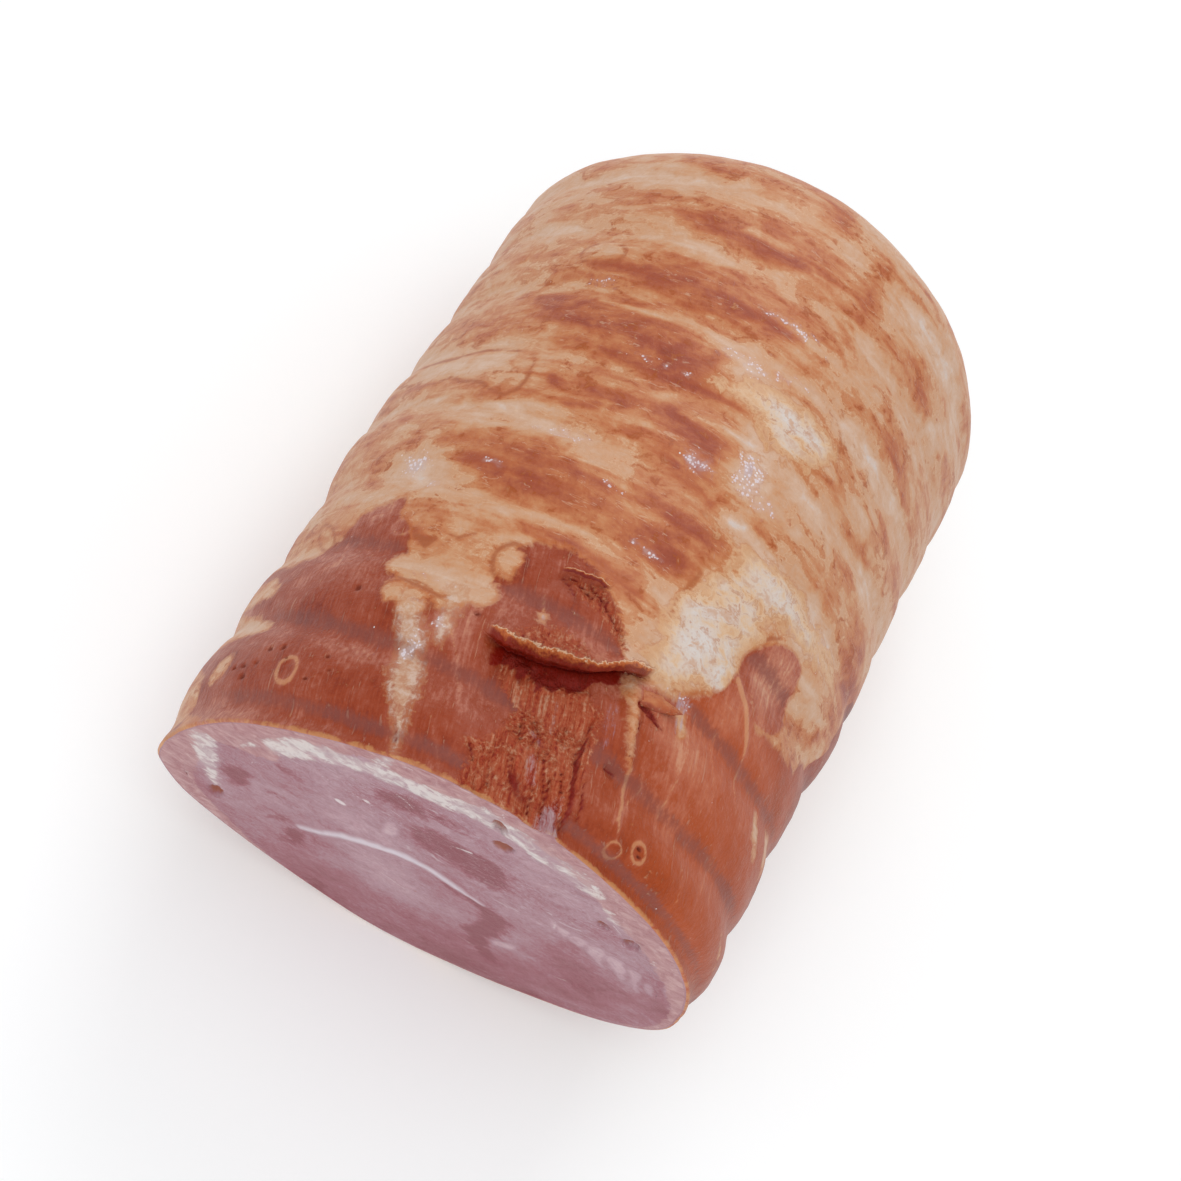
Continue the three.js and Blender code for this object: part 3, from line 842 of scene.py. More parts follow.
# Brown outlines of patches and ovals of fat
OUTLINES = Blot(1, 2.2, (
    Band((-96, 111, 0.4), (-80, 109.6, 0.6), (-71, 110, 0.6), (-64, 111.6, 0.6), (-57, 112.6, 0.5),
         (-50, 112, 0.3), (-46, 111, 0.3), (-44, 108, 0.3), (-43.5, 102, 0.4), (-44, 98.5, 0.5),
         (-46.5, 96.6, 0.5), (-50, 97.6, 0.4), (-55, 99.4, 0.6), (-62, 100.2, 0.7), (-67, 102, 0.5),
         (-71, 100.4, 0.3), (-76, 99.6, 0.4), (-82, 101.5, 0.5), (-94, 104.5, 0.4)),
    Hoop(Oval(-45, 147, 6, 4.1), 0.3), Hoop(Oval(-22, 55, 3.5, 4.5, 8), 0.5),
    Hoop(Oval(-75.5, 51.5, 6, 2.4, -35), 0.3), Hoop(Oval(-38, 38.4, 6.6, 4.4, 8), 0.2),
    Band((-45, 42.5, 0.3), (-38, 42, 0.5), (-31, 41.4, 0.4), (-28, 43, 0.2)),
    Band((-40, 57, 0.1), (-35, 56, 0.4), (-32, 58.5, 0.2)),
    Band((-46, 54, 0.4), (-42, 52.6, 1.2), (-40, 54, 0.4)),
    Band((18, 50, 0.2), (24, 53, 0.4), (28, 56.4, 0.4), (31, 61, 0.2)),
    Band((32, 74, 0.3), (35, 78, 0.6), (37, 80, 0.3)), Band((25, 82, 0.6), (27, 81.4, 0.9)),
    Band((30, 80, 0.2), (31, 76, 0.4)), Band((14, 69, 0.3), (17, 70.6, 0.4)),
    Band((10.6, 60, 0.4), (11, 68, 0.7), (12, 76, 0.5)), Band((22, 66, 0.1), (24, 71, 0.3)),
    Hoop(Oval(27.5, 60, 3.4, 3.2), 0.2), Band((8, 122.6, 0.3), (12, 122.4, 0.5)),
    Band((-80, 16.6, 0.3), (-77, 16, 0.8), (-75.4, 12, 0.3)),
    Band((-96, 43.4, 0.3), (-84, 42, 0.8), (-79, 41, 0.3)), Band((-92, 32, 0.3), (-79, 31.4, 1.2)),
))
# The rough torn meat below the flap, down to the cut, and its crumbs
TORN = Blot(1, 5, (
    Band((-4, 37, 10), (2, 31, 8), (4, 26, 8), (3, 18, 10.5), (2, 8, 11.5), (3, -2, 12)),
    Band((15, 43, 1.5), (20, 41, 1)), Band((-9.5, 59, 1), (-4, 57, 2.8), (1, 55, 2), (6, 51, 1.2)),
))
CRUMBS = Blot(1, 3, (
    Oval(-2, 24.6, 5, 4, -15), Oval(-8.5, 14, 4, 2.6, 25), Oval(4, 21.6, 2.4, 2), Oval(-3, 18, 3, 2),
    Oval(5, 27.5, 4, 2), Oval(-4, 58, 3, 1.8), Band((9, 36, 1), (9, 24, 1.4)),
    Band((-12, 37, 1), (-4, 35, 1.6), (4, 38, 1.4)),
))
# Cracks between the strands of torn meat and under the flake: sunk into the crust, and painted dark red as
# shadow
CRACKS = Blot(1, 1.5, (
    Band((8.4, 33, 0.3), (9.4, 28, 0.6), (10.4, 22, 0.8), (12, 16, 0.8), (13.2, 10, 0.7), (14, 4, 0.3)),
    Band((12.6, 22, 0.3), (14.4, 15, 0.6), (15.4, 9, 0.2)), Band((7.6, 29, 0.2), (9.6, 23, 0.3)),
    Band((-4, 26.4, 0.2), (-2.4, 22, 0.4)), Band((-1.4, 27, 0.3), (0.6, 25, 0.4), (0, 22.4, 0.3)),
    Band((2.6, 25, 0.2), (4, 22, 0.3)), Band((-10, 13, 0.6), (-8, 9, 0.3)),
    Band((-6, 14, 0.2), (-3, 4, 0.3)), Band((-2, 17, 0.3), (1, 6, 0.2)), Band((4.6, 12, 0.3), (7, 3, 0.4)),
    Band((6.6, 17, 0.4), (9, 6, 0.4)), Band((-11, 57.6, 0.4), (-8, 55.6, 0.6), (-5.4, 53, 0.1)),
    Band((-6, 59.4, 0.4), (0, 55.6, 0.5), (6, 51, 0.1)), Band((-9.6, 58.8, 0.6), (-4, 56.6, 0.4)),
    Band((14.4, 42.6, 0.9), (18, 42.2, 1.0), (21.4, 41.2, 0.3)), Band((16, 41, 0.2), (17, 37, 0.1)),
    Band((18.6, 41, 0.2), (20, 38, 0.1)), Band((-25, 9.4, 0.2), (-23.6, 5, 0.3)),
    Band((15.2, 27.2, 0.6), (17.6, 26.8, 0.5)), Band((16, 39, 0.4), (16.4, 38, 0.4)),
    Band((16.8, 34.4, 0.1), (17.6, 32, 0.3)),
))
# What stands out of the crust, in millimetres: fat patches, ovals, hoops, ridges, a fold and veins
RELIEF = (
    Blot(0.5, 5, (
        Oval(19, 66, 9, 10), Oval(32, 87, 10, 4), Oval(-31, 46, 11, 3.4), Oval(12, 123, 13, 5),
        Oval(58, 80, 6, 4),
    )),
    Blot(0.6, 2.6, (
        Oval(-22, 55, 2.8, 3.7, 8), Oval(-41, 39, 3, 2.8), Oval(-36, 38, 3.6, 3.4),
        Oval(-45, 147, 5.4, 3.6), Oval(24.6, 9.5, 1.7, 2.8), Oval(5.5, 18.8, 1.8, 1.8),
    )),
    Blot(0.35, 1.6, (Hoop(Oval(-55, 14, 2.5, 3.4, 15), 0.2), Hoop(Oval(30.5, 15.5, 1.8, 3.6), 0.2))),
    Blot(1.5, 2.2, (
        Band((10, 50, 1), (12, 46, 1.2), (13.5, 41, 1), (16, 35, 0.9), (19, 30, 0.5)),
        Band((11, 9, 0.5), (12.6, 0, 1.2)),
    )),
    Blot(0.8, 1.4, (
        Band((13.4, 26.6, 0.4), (15.4, 24.8, 0.6), (18, 25.2, 0.5), (19.4, 27.4, 0.3)),
        Hoop(Oval(24.6, 9.5, 1.8, 3), 0.1),
    )),
    Blot(0.4, 2.0, (
        Band((19, 30, 0.4), (21, 24, 0.4), (24, 14, 0.2)),
        Band((33, 64, 0.6), (39, 61, 0.6), (44, 56, 0.5), (47, 48, 0.3)),
    )),
)
# Fields that the crust's finish and the cut's finish read
CRUST_FIELDS = (
    "lean", "smoke", "tone", "warm", "deep", "pit", "frost", "veil_and_sheen", "groove_shade", "torn", "past", "near",
    "crumb", "fat", "film", "outline", "vein", "rim")
CUT_FIELDS = ("white", "dash", "seam", "pale", "dark", "shade", "pit", "pink", "marble", "glow")


@dataclass(frozen=True)
class Face:
    """The cut face: its gentle relief, and its fields, from across and up."""

    fat: Blot = Blot(1, 3.4, (
        Band((-58, 65, 3.4), (-57.4, 59, 3), (-56.4, 52, 2.4), (-54, 45, 1.3), (-52.6, 41, 0.5)),
        Band((-43.6, 81, 2.4), (-40, 86, 3.6), (-33, 92, 3.2), (-26, 96, 2.6), (-18, 98, 3),
             (-10, 99.6, 3.4), (0, 103, 3.8), (8, 102, 4), (16, 99.6, 4), (24, 98, 4.4), (29, 94, 2.2)),
        Band((-24, 98, 1.6), (-22.4, 103, 1.4), (-21.6, 108, 0.6)),
        Band((31, 92, 1.2), (35, 87, 2.2), (39, 84.4, 1.4)),
        Band((44, 80.6, 0.3), (50, 76, 0.5), (54, 70, 0.2)), Band((-50, 72.6, 0.2), (-47.6, 77, 0.4)),
        Band((-32.4, 99, 0.3), (-30, 103, 0.3)), Oval(14.4, 106.6, 0.8, 0.4),
        Band((-62.6, 68, 0.8), (-61, 67, 1.4)),
    ))
    dashes: Blot = Blot(1, 1.2, (
        Band((-20, 104.4, 0.1), (-17, 106.4, 0.2)), Band((-14.6, 108.6, 0.2), (-13, 109, 0.1)),
        Band((-11, 109.4, 0.2), (-8, 110.2, 0.1)), Band((-7, 110, 0.2), (-4, 110.6, 0.1)),
        Band((-3, 112.6, 0.1), (-1.6, 113, 0.2)), Band((-16, 104, 0.1), (-12, 105.6, 0.1)),
        Band((2.6, 108.4, 0.2), (3.4, 107, 0.3)), Band((8, 111.6, 0.2), (8.6, 110, 0.1)),
        Band((-17.4, 90.4, 0.2), (-12.4, 87.6, 0.25)),
        Band((-26, 88, 0.1), (-23, 86, 0.15), (-20, 84, 0.1)),
        Band((-44, 79.4, 0.1), (-30, 79.6, 0.15), (-20, 78.6, 0.2)),
        Band((-47.6, 64.4, 0.1), (-46, 68, 0.2), (-43.6, 70, 0.1)), Band((-45, 63, 0.1), (-42, 59, 0.1)),
        Oval(-21, 79, 0.9, 0.6), Oval(-26, 71, 1.5, 0.9), Band((-1, 78.6, 0.1), (3, 81.4, 0.5)),
        Band((-10, 42, 0.1), (-3, 39.6, 0.2)), Band((28, 70, 0.2), (29, 66, 0.3)),
        Oval(4.4, 104.6, 0.5, 0.4), Oval(7.4, 95.4, 0.9, 0.4), Band((37, 84, 0.2), (40, 81, 0.1)),
    ))
    seam: Blot = Blot(1, 3.6, (
        Band((-31, 42.6, 1.0), (-27, 46.4, 1.3), (-23, 51, 1.5), (-18, 55, 1.7), (-13, 58, 1.8),
             (-8, 59.6, 1.7), (-2, 60, 1.5), (3, 59, 1.3), (8, 58, 1.1), (13, 57.2, 0.5)),
    ))
    pale: Blot = Blot(1, 3, (
        Band((27, 71, 0.3), (29, 68, 0.9), (30, 66, 0.2)), Band((31, 67.2, 1.6), (32.5, 63.6, 0.4)),
        Band((35, 66.6, 2.2), (37, 62.6, 0.6)),
        Band((39.5, 65.8, 2.2), (41, 61.5, 1.9), (43.4, 57.2, 0.4)),
        Band((44.5, 64.4, 2.1), (46.4, 61.5, 1.8), (48.8, 57, 0.4)),
        Band((49.6, 63, 2.0), (51.4, 60, 1.5), (54.8, 54.6, 0.4)), Band((55, 61.4, 1.4), (57, 58, 0.6)),
        Band((57.4, 67, 0.7), (59, 63, 1.1), (60, 60, 0.3)), Oval(63, 56, 1.2, 3),
        Oval(24.4, 37, 1.6, 4.6, -20), Oval(-14, 71, 2, 3.6),
    ))
    glow: Blot = Blot(1, 12, (
        Oval(-8, 40, 16, 9, -20), Band((-51, 42, 1.2), (-49, 30, 2.4), (-44, 22, 1.4)),
        Oval(-17, 66, 8, 6), Oval(57, 39, 2.4, 3.6), Oval(26, 38, 3, 7, -20), Oval(-30, 92, 12, 4, 30),
        Oval(22, 88, 8, 4, -30),
    ))
    dark: Blot = Blot(1, 5, (
        Band((-4, 76, 6), (6, 76, 7)), Oval(8, 72, 7, 4),
        Band((4, 56.6, 0.8), (13, 55.4, 1.6), (18, 52, 3.2), (19, 45, 4.2), (18, 36, 3.6), (20, 28, 2.2),
             (25, 23, 1.4)), Oval(-49.6, 54, 4, 5.6, -15), Oval(-32, 34, 2.4, 5, -20),
        Band((-39, 38, 0.8), (-35, 43, 0.8)), Oval(-54, 23, 4, 3.4), Oval(-15, 87.6, 6, 3.6, 10),
        Oval(-6.6, 90, 3.4, 1.4), Oval(-21, 8, 1.4, 3), Oval(-39.6, 54, 0.8, 0.9),
        Oval(13.6, 81, 0.8, 0.8), Oval(-38.4, 73, 1.6, 0.9),
    ))
    shade: Blot = Blot(1, 26, (
        Oval(46, 38, 18, 14, -20), Oval(50, 49, 14, 6), Oval(26, 8, 50, 16), Oval(-24, 12, 6, 12),
        Oval(62, 50, 8, 20), Oval(-4, 22, 40, 8),
    ))
    pits: Blot = Blot(1, 1.8, (
        Oval(4, 101.6, 1.5, 2.6, 28), Oval(7.4, 93.4, 2.4, 1.8), Oval(35.4, 81, 0.9, 1.9, 38),
        Oval(43, 79, 1.9, 1.9), Oval(-52.6, 37.6, 1.6, 3.2, -8),
    ))
    pit_depth: float = 1.8
    # How far the fat, the seam and the dark patches stand out
    rises: Triple = (0.12, 0.3, -0.15)
    waves: Ripples = (Ripple(5, 0.35, (14,)), Ripple(6, 0.14, (5,)), Ripple(7, 0.06, (1.8,)))
    sway: Ripples = (Ripple(51, 0.8, (7,)), Ripple(52, 0.5, (2.4,)))
    drift: Ripples = (Ripple(53, 0.8, (7,)), Ripple(54, 0.5, (2.4,)))

    def relief(self, point: Array) -> Array:
        """How far the face stands out: slow waves, grain and lines, less the pits.

        Args:
            point: Points (x, y, z) of the face.

        Returns:
            Millimetres.
        """
        flat = point * np.array([1.0, 0.0, 1.0])
        x, z = point[..., 0], point[..., 2]
        blots = (self.fat, self.seam, self.dark)
        marks = sum(rise * blot.cover(x, z) for rise, blot in zip(self.rises, blots))
        return rippled(self.waves, flat) + marks - self.pit_depth * smooth(self.pits.cover(x, z), 0.35, 0.8)

    def fields(self, roll: Roll, layers: "Layers", point: Array) -> dict[str, Array]:
        """Fields of the finishes at points (x, y, z) of the face.

        Args:
            roll: The plain roll.
            layers: The roll's layers.
            point: Points of the face.

        Returns:
            Named fields from 0 to 1.
        """
        flat = point * np.array([1.0, 0.0, 1.0])
        sway, drift = rippled(self.sway, flat), rippled(self.drift, flat)
        x, z = point[..., 0] + sway, point[..., 2] + drift
        nearly = (point[..., 0] + 0.4 * sway, point[..., 2] + 0.4 * drift)
        plain = {"white": self.fat, "dash": self.dashes, "seam": self.seam, "pit": self.pits}
        moved = {"pale": self.pale, "dark": self.dark, "shade": self.shade, "glow": self.glow}
        found = {name: blot.cover(*nearly) for name, blot in plain.items()}
        found.update({name: blot.cover(x, z) for name, blot in moved.items()})
        found["white"] = found["white"] * (1 - 0.36 * smooth(x, 2, 24))
        found["pink"] = layers.pink(roll, x, z)
        upper = smooth(z + 0.25 * x, 44, 76) * (1 - 0.6 * smooth(x, 10, 30) * smooth(-z, -72, -60))
        found["marble"] = np.maximum(upper, 0.25)
        return found


@dataclass(frozen=True)
class Layers:
    """Depths of the layers under the plain section, by angle round it, with uneven edges."""

    lean: Spans = (
        (-180, 6.5), (-90, 5.5), (0, 6.5), (45, 7.5), (62, 5.5), (90, 6.5), (110, 4), (122, 8), (138, 5.5),
        (152, 6), (168, 7), (180, 6.5))
    fat: Spans = (
        (16, 0.0), (24, 1.6), (42, 2.2), (52, 5.5), (62, 8), (75, 7), (90, 6.5), (106, 9), (118, 6), (136, 7),
        (143, 2.4), (150, 2), (157, 5), (167, 6), (178, 4.4), (186, 0.0))
    pink_edge: Spans = (
        (-180, 9), (-150, 6), (-120, 2), (-90, 0), (-20, 0), (0, 2.5), (25, 5), (45, 9), (62, 9),
        (75, 8), (90, 7.5), (100, 10), (108, 8), (116, 4), (124, 8), (136, 8), (141, 14), (148, 12),
        (156, 5), (168, 8), (180, 9))
    lean_ripple: Ripple = Ripple(11, 0.6, (4,))
    fat_ripple: Ripple = Ripple(12, 0.6, (4,))
    edge_fade: float = 2.4

    def uneven(self, roll: Roll, arc: Array, ripple: Ripple) -> Array:
        """Small uneven waves of a layer's edge round the section."""
        point = roll.section(arc)
        return ripple.at(np.stack([point[..., 0], np.zeros_like(arc), point[..., 1]], axis=-1))

    def lean_depth(self, roll: Roll, arc: Array) -> Array:
        """Thickness of the outer lean at arcs."""
        angles, depths = zip(*self.lean)
        return np.interp(roll.angle(arc), angles, depths) + self.uneven(roll, arc, self.lean_ripple)

    def fat_depth(self, roll: Roll, arc: Array) -> Array:
        """Thickness of the fat.

        Args:
            roll: The plain roll.
            arc: Arcs.

        Returns:
            Millimetres, 0 where there is no fat.
        """
        angles, depths = zip(*self.fat)
        angle = roll.angle(arc)
        angle = np.where(angle < -90, angle + 360, angle)
        plain = np.interp(angle, angles, depths, left=0, right=0)
        return np.maximum(plain + self.uneven(roll, arc, self.fat_ripple) * np.minimum(plain / 3, 1), 0)

    def pink(self, roll: Roll, x: Array, z: Array) -> Array:
        """Where the pink outer lean shows on the cut: down to the edge's depth under the rim.

        Args:
            roll: The plain roll.
            x: Across the cut.
            z: Up the cut.

        Returns:
            Cover from 0 to 1, with 0.5 on the edge.
        """
        up = z - roll.centre_height
        angle = np.degrees(np.arctan2(up, x))
        upper, lower_right, lower_left = roll.powers
        power = np.where(up >= 0, upper, np.where(x > 0, lower_right, lower_left))
        height = np.where(up >= 0, roll.upper_height, roll.centre_height + roll.sink)
        ratio = (np.abs(x / roll.half_width) ** power + np.abs(up / height) ** power) ** (1 / power)
        depth = (1 / np.maximum(ratio, 0.05) - 1) * np.hypot(x, up)
        angles, edges = zip(*self.pink_edge)
        return np.clip(0.5 + (np.interp(angle, angles, edges) - depth) / self.edge_fade, 0, 1)


def shell(name: str, grid: Array, fields: dict[str, Array], poles: tuple[Array, Array], origin: Array,
          shown: Array | None = None) -> bpy.types.Object:
    """Makes a closed smooth mesh from a grid whose rows close round, with a pole past each end.

    Args:
        name: The piece's name.
        grid: Points, rows x columns x 3, in millimetres.
        fields: Named values for each point, rows x columns.
        poles: The points that close the first and the last row.
        origin: The roll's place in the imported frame, in millimetres.
        shown: True for each cell of the grid that shows; walls inside the roll stay flat shaded, so that
            they don't tilt the normals along the edges of the cut. All show if it is left out.

    Returns:
        The new object, with its place in its mesh.
    """
    rows, columns = grid.shape[:2]
    points = np.concatenate([grid.reshape(-1, 3), np.stack(poles)]) + origin
    here = np.arange(rows * columns).reshape(rows, columns)
    next_column = np.roll(here, -1, axis=1)
    quads = np.stack([here[:-1], next_column[:-1], next_column[1:], here[1:]], axis=-1).reshape(-1, 4)
    first, last = rows * columns, rows * columns + 1
    near = np.stack([np.full(columns, first), next_column[0], here[0]], axis=-1)
    far = np.stack([np.full(columns, last), here[-1], next_column[-1]], axis=-1)
    corners = points[np.concatenate([quads[:, [0, 1, 2]], quads[:, [0, 2, 3]], near, far])]
    if np.einsum("ij,ij->", corners[:, 0], np.cross(corners[:, 1], corners[:, 2])) < 0:
        quads, near, far = quads[:, ::-1], near[:, ::-1], far[:, ::-1]
    faces = quads.tolist() + near.tolist() + far.tolist()
    mesh = bpy.data.meshes.new(name)
    mesh.from_pydata((points * MM).tolist(), [], faces)
    even = np.ones(len(faces), dtype=bool)
    if shown is not None:
        even[:len(quads)] = np.broadcast_to(shown, (rows - 1, columns)).ravel()
    mesh.polygons.foreach_set("use_smooth", even)
    for label, values in fields.items():
        ends = [values[0].mean(), values[-1].mean()]
        layer = mesh.attributes.new(label, "FLOAT", "POINT")
        layer.data.foreach_set("value", np.concatenate([values.ravel(), ends]).astype(np.float32))
    mesh.update()
    piece = bpy.data.objects.new(name, mesh)
    bpy.context.scene.collection.objects.link(piece)
    return piece


@dataclass
class Crust:
    """The outer lean meat with its smoked crust, from the cut's rim to the rounded end."""

    roll: Roll
    net: Net = Net()
    layers: Layers = Layers()
    face: Face = Face()
    tears: tuple[Tear, ...] = (MAIN_TEAR, NOTCH, FAR_LIP, CURL)
    arc_zones: Spans = (
        (-150, 3.5), (-105, 2.0), (-75, 1.2), (-40, 0.65), (32, 0.6), (60, 0.75), (105, 1.2), (150, 2.0))
    last_step: float = 3.5
    station_zones: Spans = (
        (1, 0.25), (40.8, 0.55), (42, 0.12), (43.2, 0.15), (54, 0.55), (100, 0.8), (172, 1.1))
    dome_rows: int = 26
    dome_close: float = 0.9995
    rim_rows: int = 10
    rim_inset: float = 0.015
    rim_flat: float = 0.35
    tear_station: float = 42.0
    tear_reach: float = 30.0
    tear_middle: float = -2.0
    tear_sides: Span = (20, 32)
    lumps: tuple[float, float, float, float, float] = (0.7, 4, 41, 2, 23)
    waves: Ripples = (Ripple(32, 0.25, (10, 7, 10)), Ripple(33, 0.1, (3.2, 2.4, 3.2)))
    sway_round: Ripples = (Ripple(41, 2.0, (11,)), Ripple(42, 0.9, (4,)))
    sway_along: Ripples = (Ripple(43, 1.6, (16, 8, 16)), Ripple(44, 0.8, (7, 3, 7)))
    strands: Ripples = (Ripple(21, 1.0, (1.9, 18, 1.9)), Ripple(22, 0.6, (1.0, 9, 1.0)))
    splits: Ripple = Ripple(26, 1.0, (3.2, 17, 3.2))
    split_gate: Ripple = Ripple(27, 1.0, (5,))
    crumbles: Ripples = (Ripple(23, 1.0, (2.2, 2.4, 2.2)), Ripple(24, 0.7, (1.2,)))
    torn_edge: Ripple = Ripple(25, 1.5, (4,))
    hanging: Ripples = (Ripple(46, 2.6, (1.5, 9, 1.5)), Ripple(47, 1.4, (0.7, 4, 0.7)))
    hidden_streaks: Ripple = Ripple(45, 0.45, (30, 9, 30))
    slant: float = 0.32
    split_width: float = 0.1
    strand_height: float = 0.6
    crumb_height: float = 0.7
    crack_depth: float = 0.8
    pit_depth: float = 0.6
    rim_radii: Span = (0.7, 2.3)
    rim_heights: Span = (-30.0, -8.0)
    # How far the painted shadow under the flap's edge reaches, and how it shortens away from the tear's
    # middle
    red_reach: float = 7.2
    red_shortening: float = 0.14
    lean_fade: float = 6.0
    lip_reach: float = 6.0
    # Arcs or stations between which a look comes or goes
    red_left: Span = (-18, -14)
    red_right: Span = (8, 12)
    hidden_arcs: Span = (92, 120)
    plain_arcs: Span = (62, 86)
    shine_arcs: Span = (8, 26)
    dark_arcs: Span = (30, 75)
    warm_arcs: Span = (6, 60)
    cool_arcs: Span = (72, 98)
    cool_stations: Span = (56, 68)
    rim_stations: Span = (0.1, 2.6)

    def arcs(self) -> Array:
        """Arcs of the grid's columns, once round from the bottom."""
        zones = (*self.arc_zones, (self.roll.right_girth, self.last_step))
        return lines(-self.roll.left_girth, zones)[:-1]

    def slow_lumps(self, arc: Array, station: Array) -> Array:
        """Slow lumps: height x sin(4t + s/41) x sin(s/23 - 2t), with t once round the roll.

        Args:
            arc: Arcs.
            station: Stations.

        Returns:
            Outward offset in millimetres.
        """
        height, around, along, cross_around, cross_along = self.lumps
        turn = np.pi * arc / np.where(arc < 0, self.roll.left_girth, self.roll.right_girth)
        crossing = np.sin(station / cross_along - cross_around * turn)
        return height * np.sin(around * turn + station / along) * crossing

    def bent(self, arc: Array, station: Array) -> Array:
        """Bends grid lines round the tear, so that one of them follows the flap's edge.

        Args:
            arc: Arcs.
            station: Stations of the straight lines.

        Returns:
            Stations of the bent lines.
        """
        near = 1 - smooth(np.abs(arc - self.tear_middle), *self.tear_sides)
        along = 1 - np.clip(np.abs(station - self.tear_station) / self.tear_reach, 0, 1)
        return station - MAIN_TEAR.above(arc, self.tear_station) * near * along

    def torn(self, arc: Array, station: Array, place: Array) -> tuple[Array, Array]:
        """Relief of the torn meat, and how deep its cracks are.

        Strands slant down to the right; a crack is exp(-(noise / width)^2); crumbs are fine noise.

        Args:
            arc: Arcs.
            station: Stations.
            place: The plain roll's points, for noise.

        Returns:
            The outward offset, and the cracks from 0 to 1.
        """
        slanted = place + np.stack([self.slant * station, np.zeros_like(arc), np.zeros_like(arc)], axis=-1)
        torn = smooth(TORN.cover(arc + self.torn_edge.at(place), station), 0.3, 0.75)
        crumbs = smooth(CRUMBS.cover(arc, station), 0.3, 0.8)
        split = np.exp(-(self.splits.at(slanted) / self.split_width) ** 2)
        split = split * smooth(self.split_gate.at(place), -0.1, 0.3)
        named = smooth(CRACKS.cover(arc, station), 0.3, 0.8)
        relief = self.strand_height * torn * (rippled(self.strands, slanted) - split)
        relief = relief + self.crumb_height * rippled(self.crumbles, place) * crumbs
        return relief - self.crack_depth * named, np.maximum(named, split * torn)

    def surface(self, arc: Array, grid_station: Array) -> tuple[Array, dict[str, Array]]:
        """The crust's points and fields.

        Points are the plain section moved out along its normal by the net's swell, the lumps, the
        tears and the marks' relief, less the rounding of the rim, then placed along the roll.

        Args:
            arc: Arcs, rows x columns.
            grid_station: Stations before they bend round the tear.

        Returns:
            The points, and the named fields of the finish.
        """
        roll = self.roll
        station = self.bent(arc, grid_station)
        section = roll.section(arc)
        dome = roll.dome(station, roll.dome_start, roll.length)
        plain = roll.placed(section, station, dome)
        torn, cracks = self.torn(arc, station, plain)
        offset = self.net.softened(station) + self.slow_lumps(arc, station) + torn
        offset = offset + rippled(self.waves, plain) + sum(tear.relief(arc, station) for tear in self.tears)
        offset = offset + pushed(RELIEF, arc, station)
        offset = offset - self.pit_depth * smooth(PITS.cover(arc, station), 0.3, 0.8)
        sharp, more = self.rim_radii
        radius = sharp + more * smooth(-section[..., 1], *self.rim_heights)
        corner = np.clip(1 - grid_station / radius, 0, 1)
        offset = offset - radius * (1 - np.sqrt(np.clip(1 - corner ** 2, 0, 1)))
        point = roll.placed(roll.moved(arc, offset), station, dome)
        for tear in self.tears:
            point[..., 1] -= tear.overhang * tear.lip_share(arc, station)
        point[..., 2] = np.maximum(point[..., 2], 0)
        return point, self.fields(arc, station, plain, cracks)

    def fields(self, arc: Array, station: Array, place: Array, cracks: Array) -> dict[str, Array]:
        """Fields of the finish: where each kind of meat, fat, membrane and groove shows, and where shade and
        sheen are painted.

        Args:
            arc: Arcs.
            station: Stations.
            place: The plain roll's points, for noise.
            cracks: Cracks of the torn meat, from 0 to 1.

        Returns:
            Named fields, most from 0 to 1 with 0.5 on an edge.
        """
        u = arc + rippled(self.sway_round, place)
        v = station + rippled(self.sway_along, place)
        nearly = (arc * 0.7 + u * 0.3, station * 0.7 + v * 0.3)
        arcs, stations = zip(*LEAN_EDGE)
        lean = np.clip(0.5 + (np.interp(u, arcs, stations) - v) / self.lean_fade, 0, 1)
        lean = np.maximum(lean, pushed(LEAN_SPOTS, u, v))
        lean = np.minimum(lean, 1 - FAT_IN_LEAN.cover(*nearly))
        hidden = smooth(np.abs(arc), *self.hidden_arcs)
        under = self.shadow_under_flap(arc, station, place)
        torn = TORN.cover(arc, station)
        pairs = [tear.past(arc, station) for tear in self.tears[:2]]
        near = sum(share for _, share in pairs)
        past = sum(np.clip(distance, -self.lip_reach, self.lip_reach) * share for distance, share in pairs)
        shown = 1 - smooth(np.abs(arc), *self.plain_arcs)
        # Painted shade on each groove's wall that faces the cut: a mauve band, and a slightly darker lean
        # tone
        ring = self.net.closeness(station, *self.net.groove_shade)
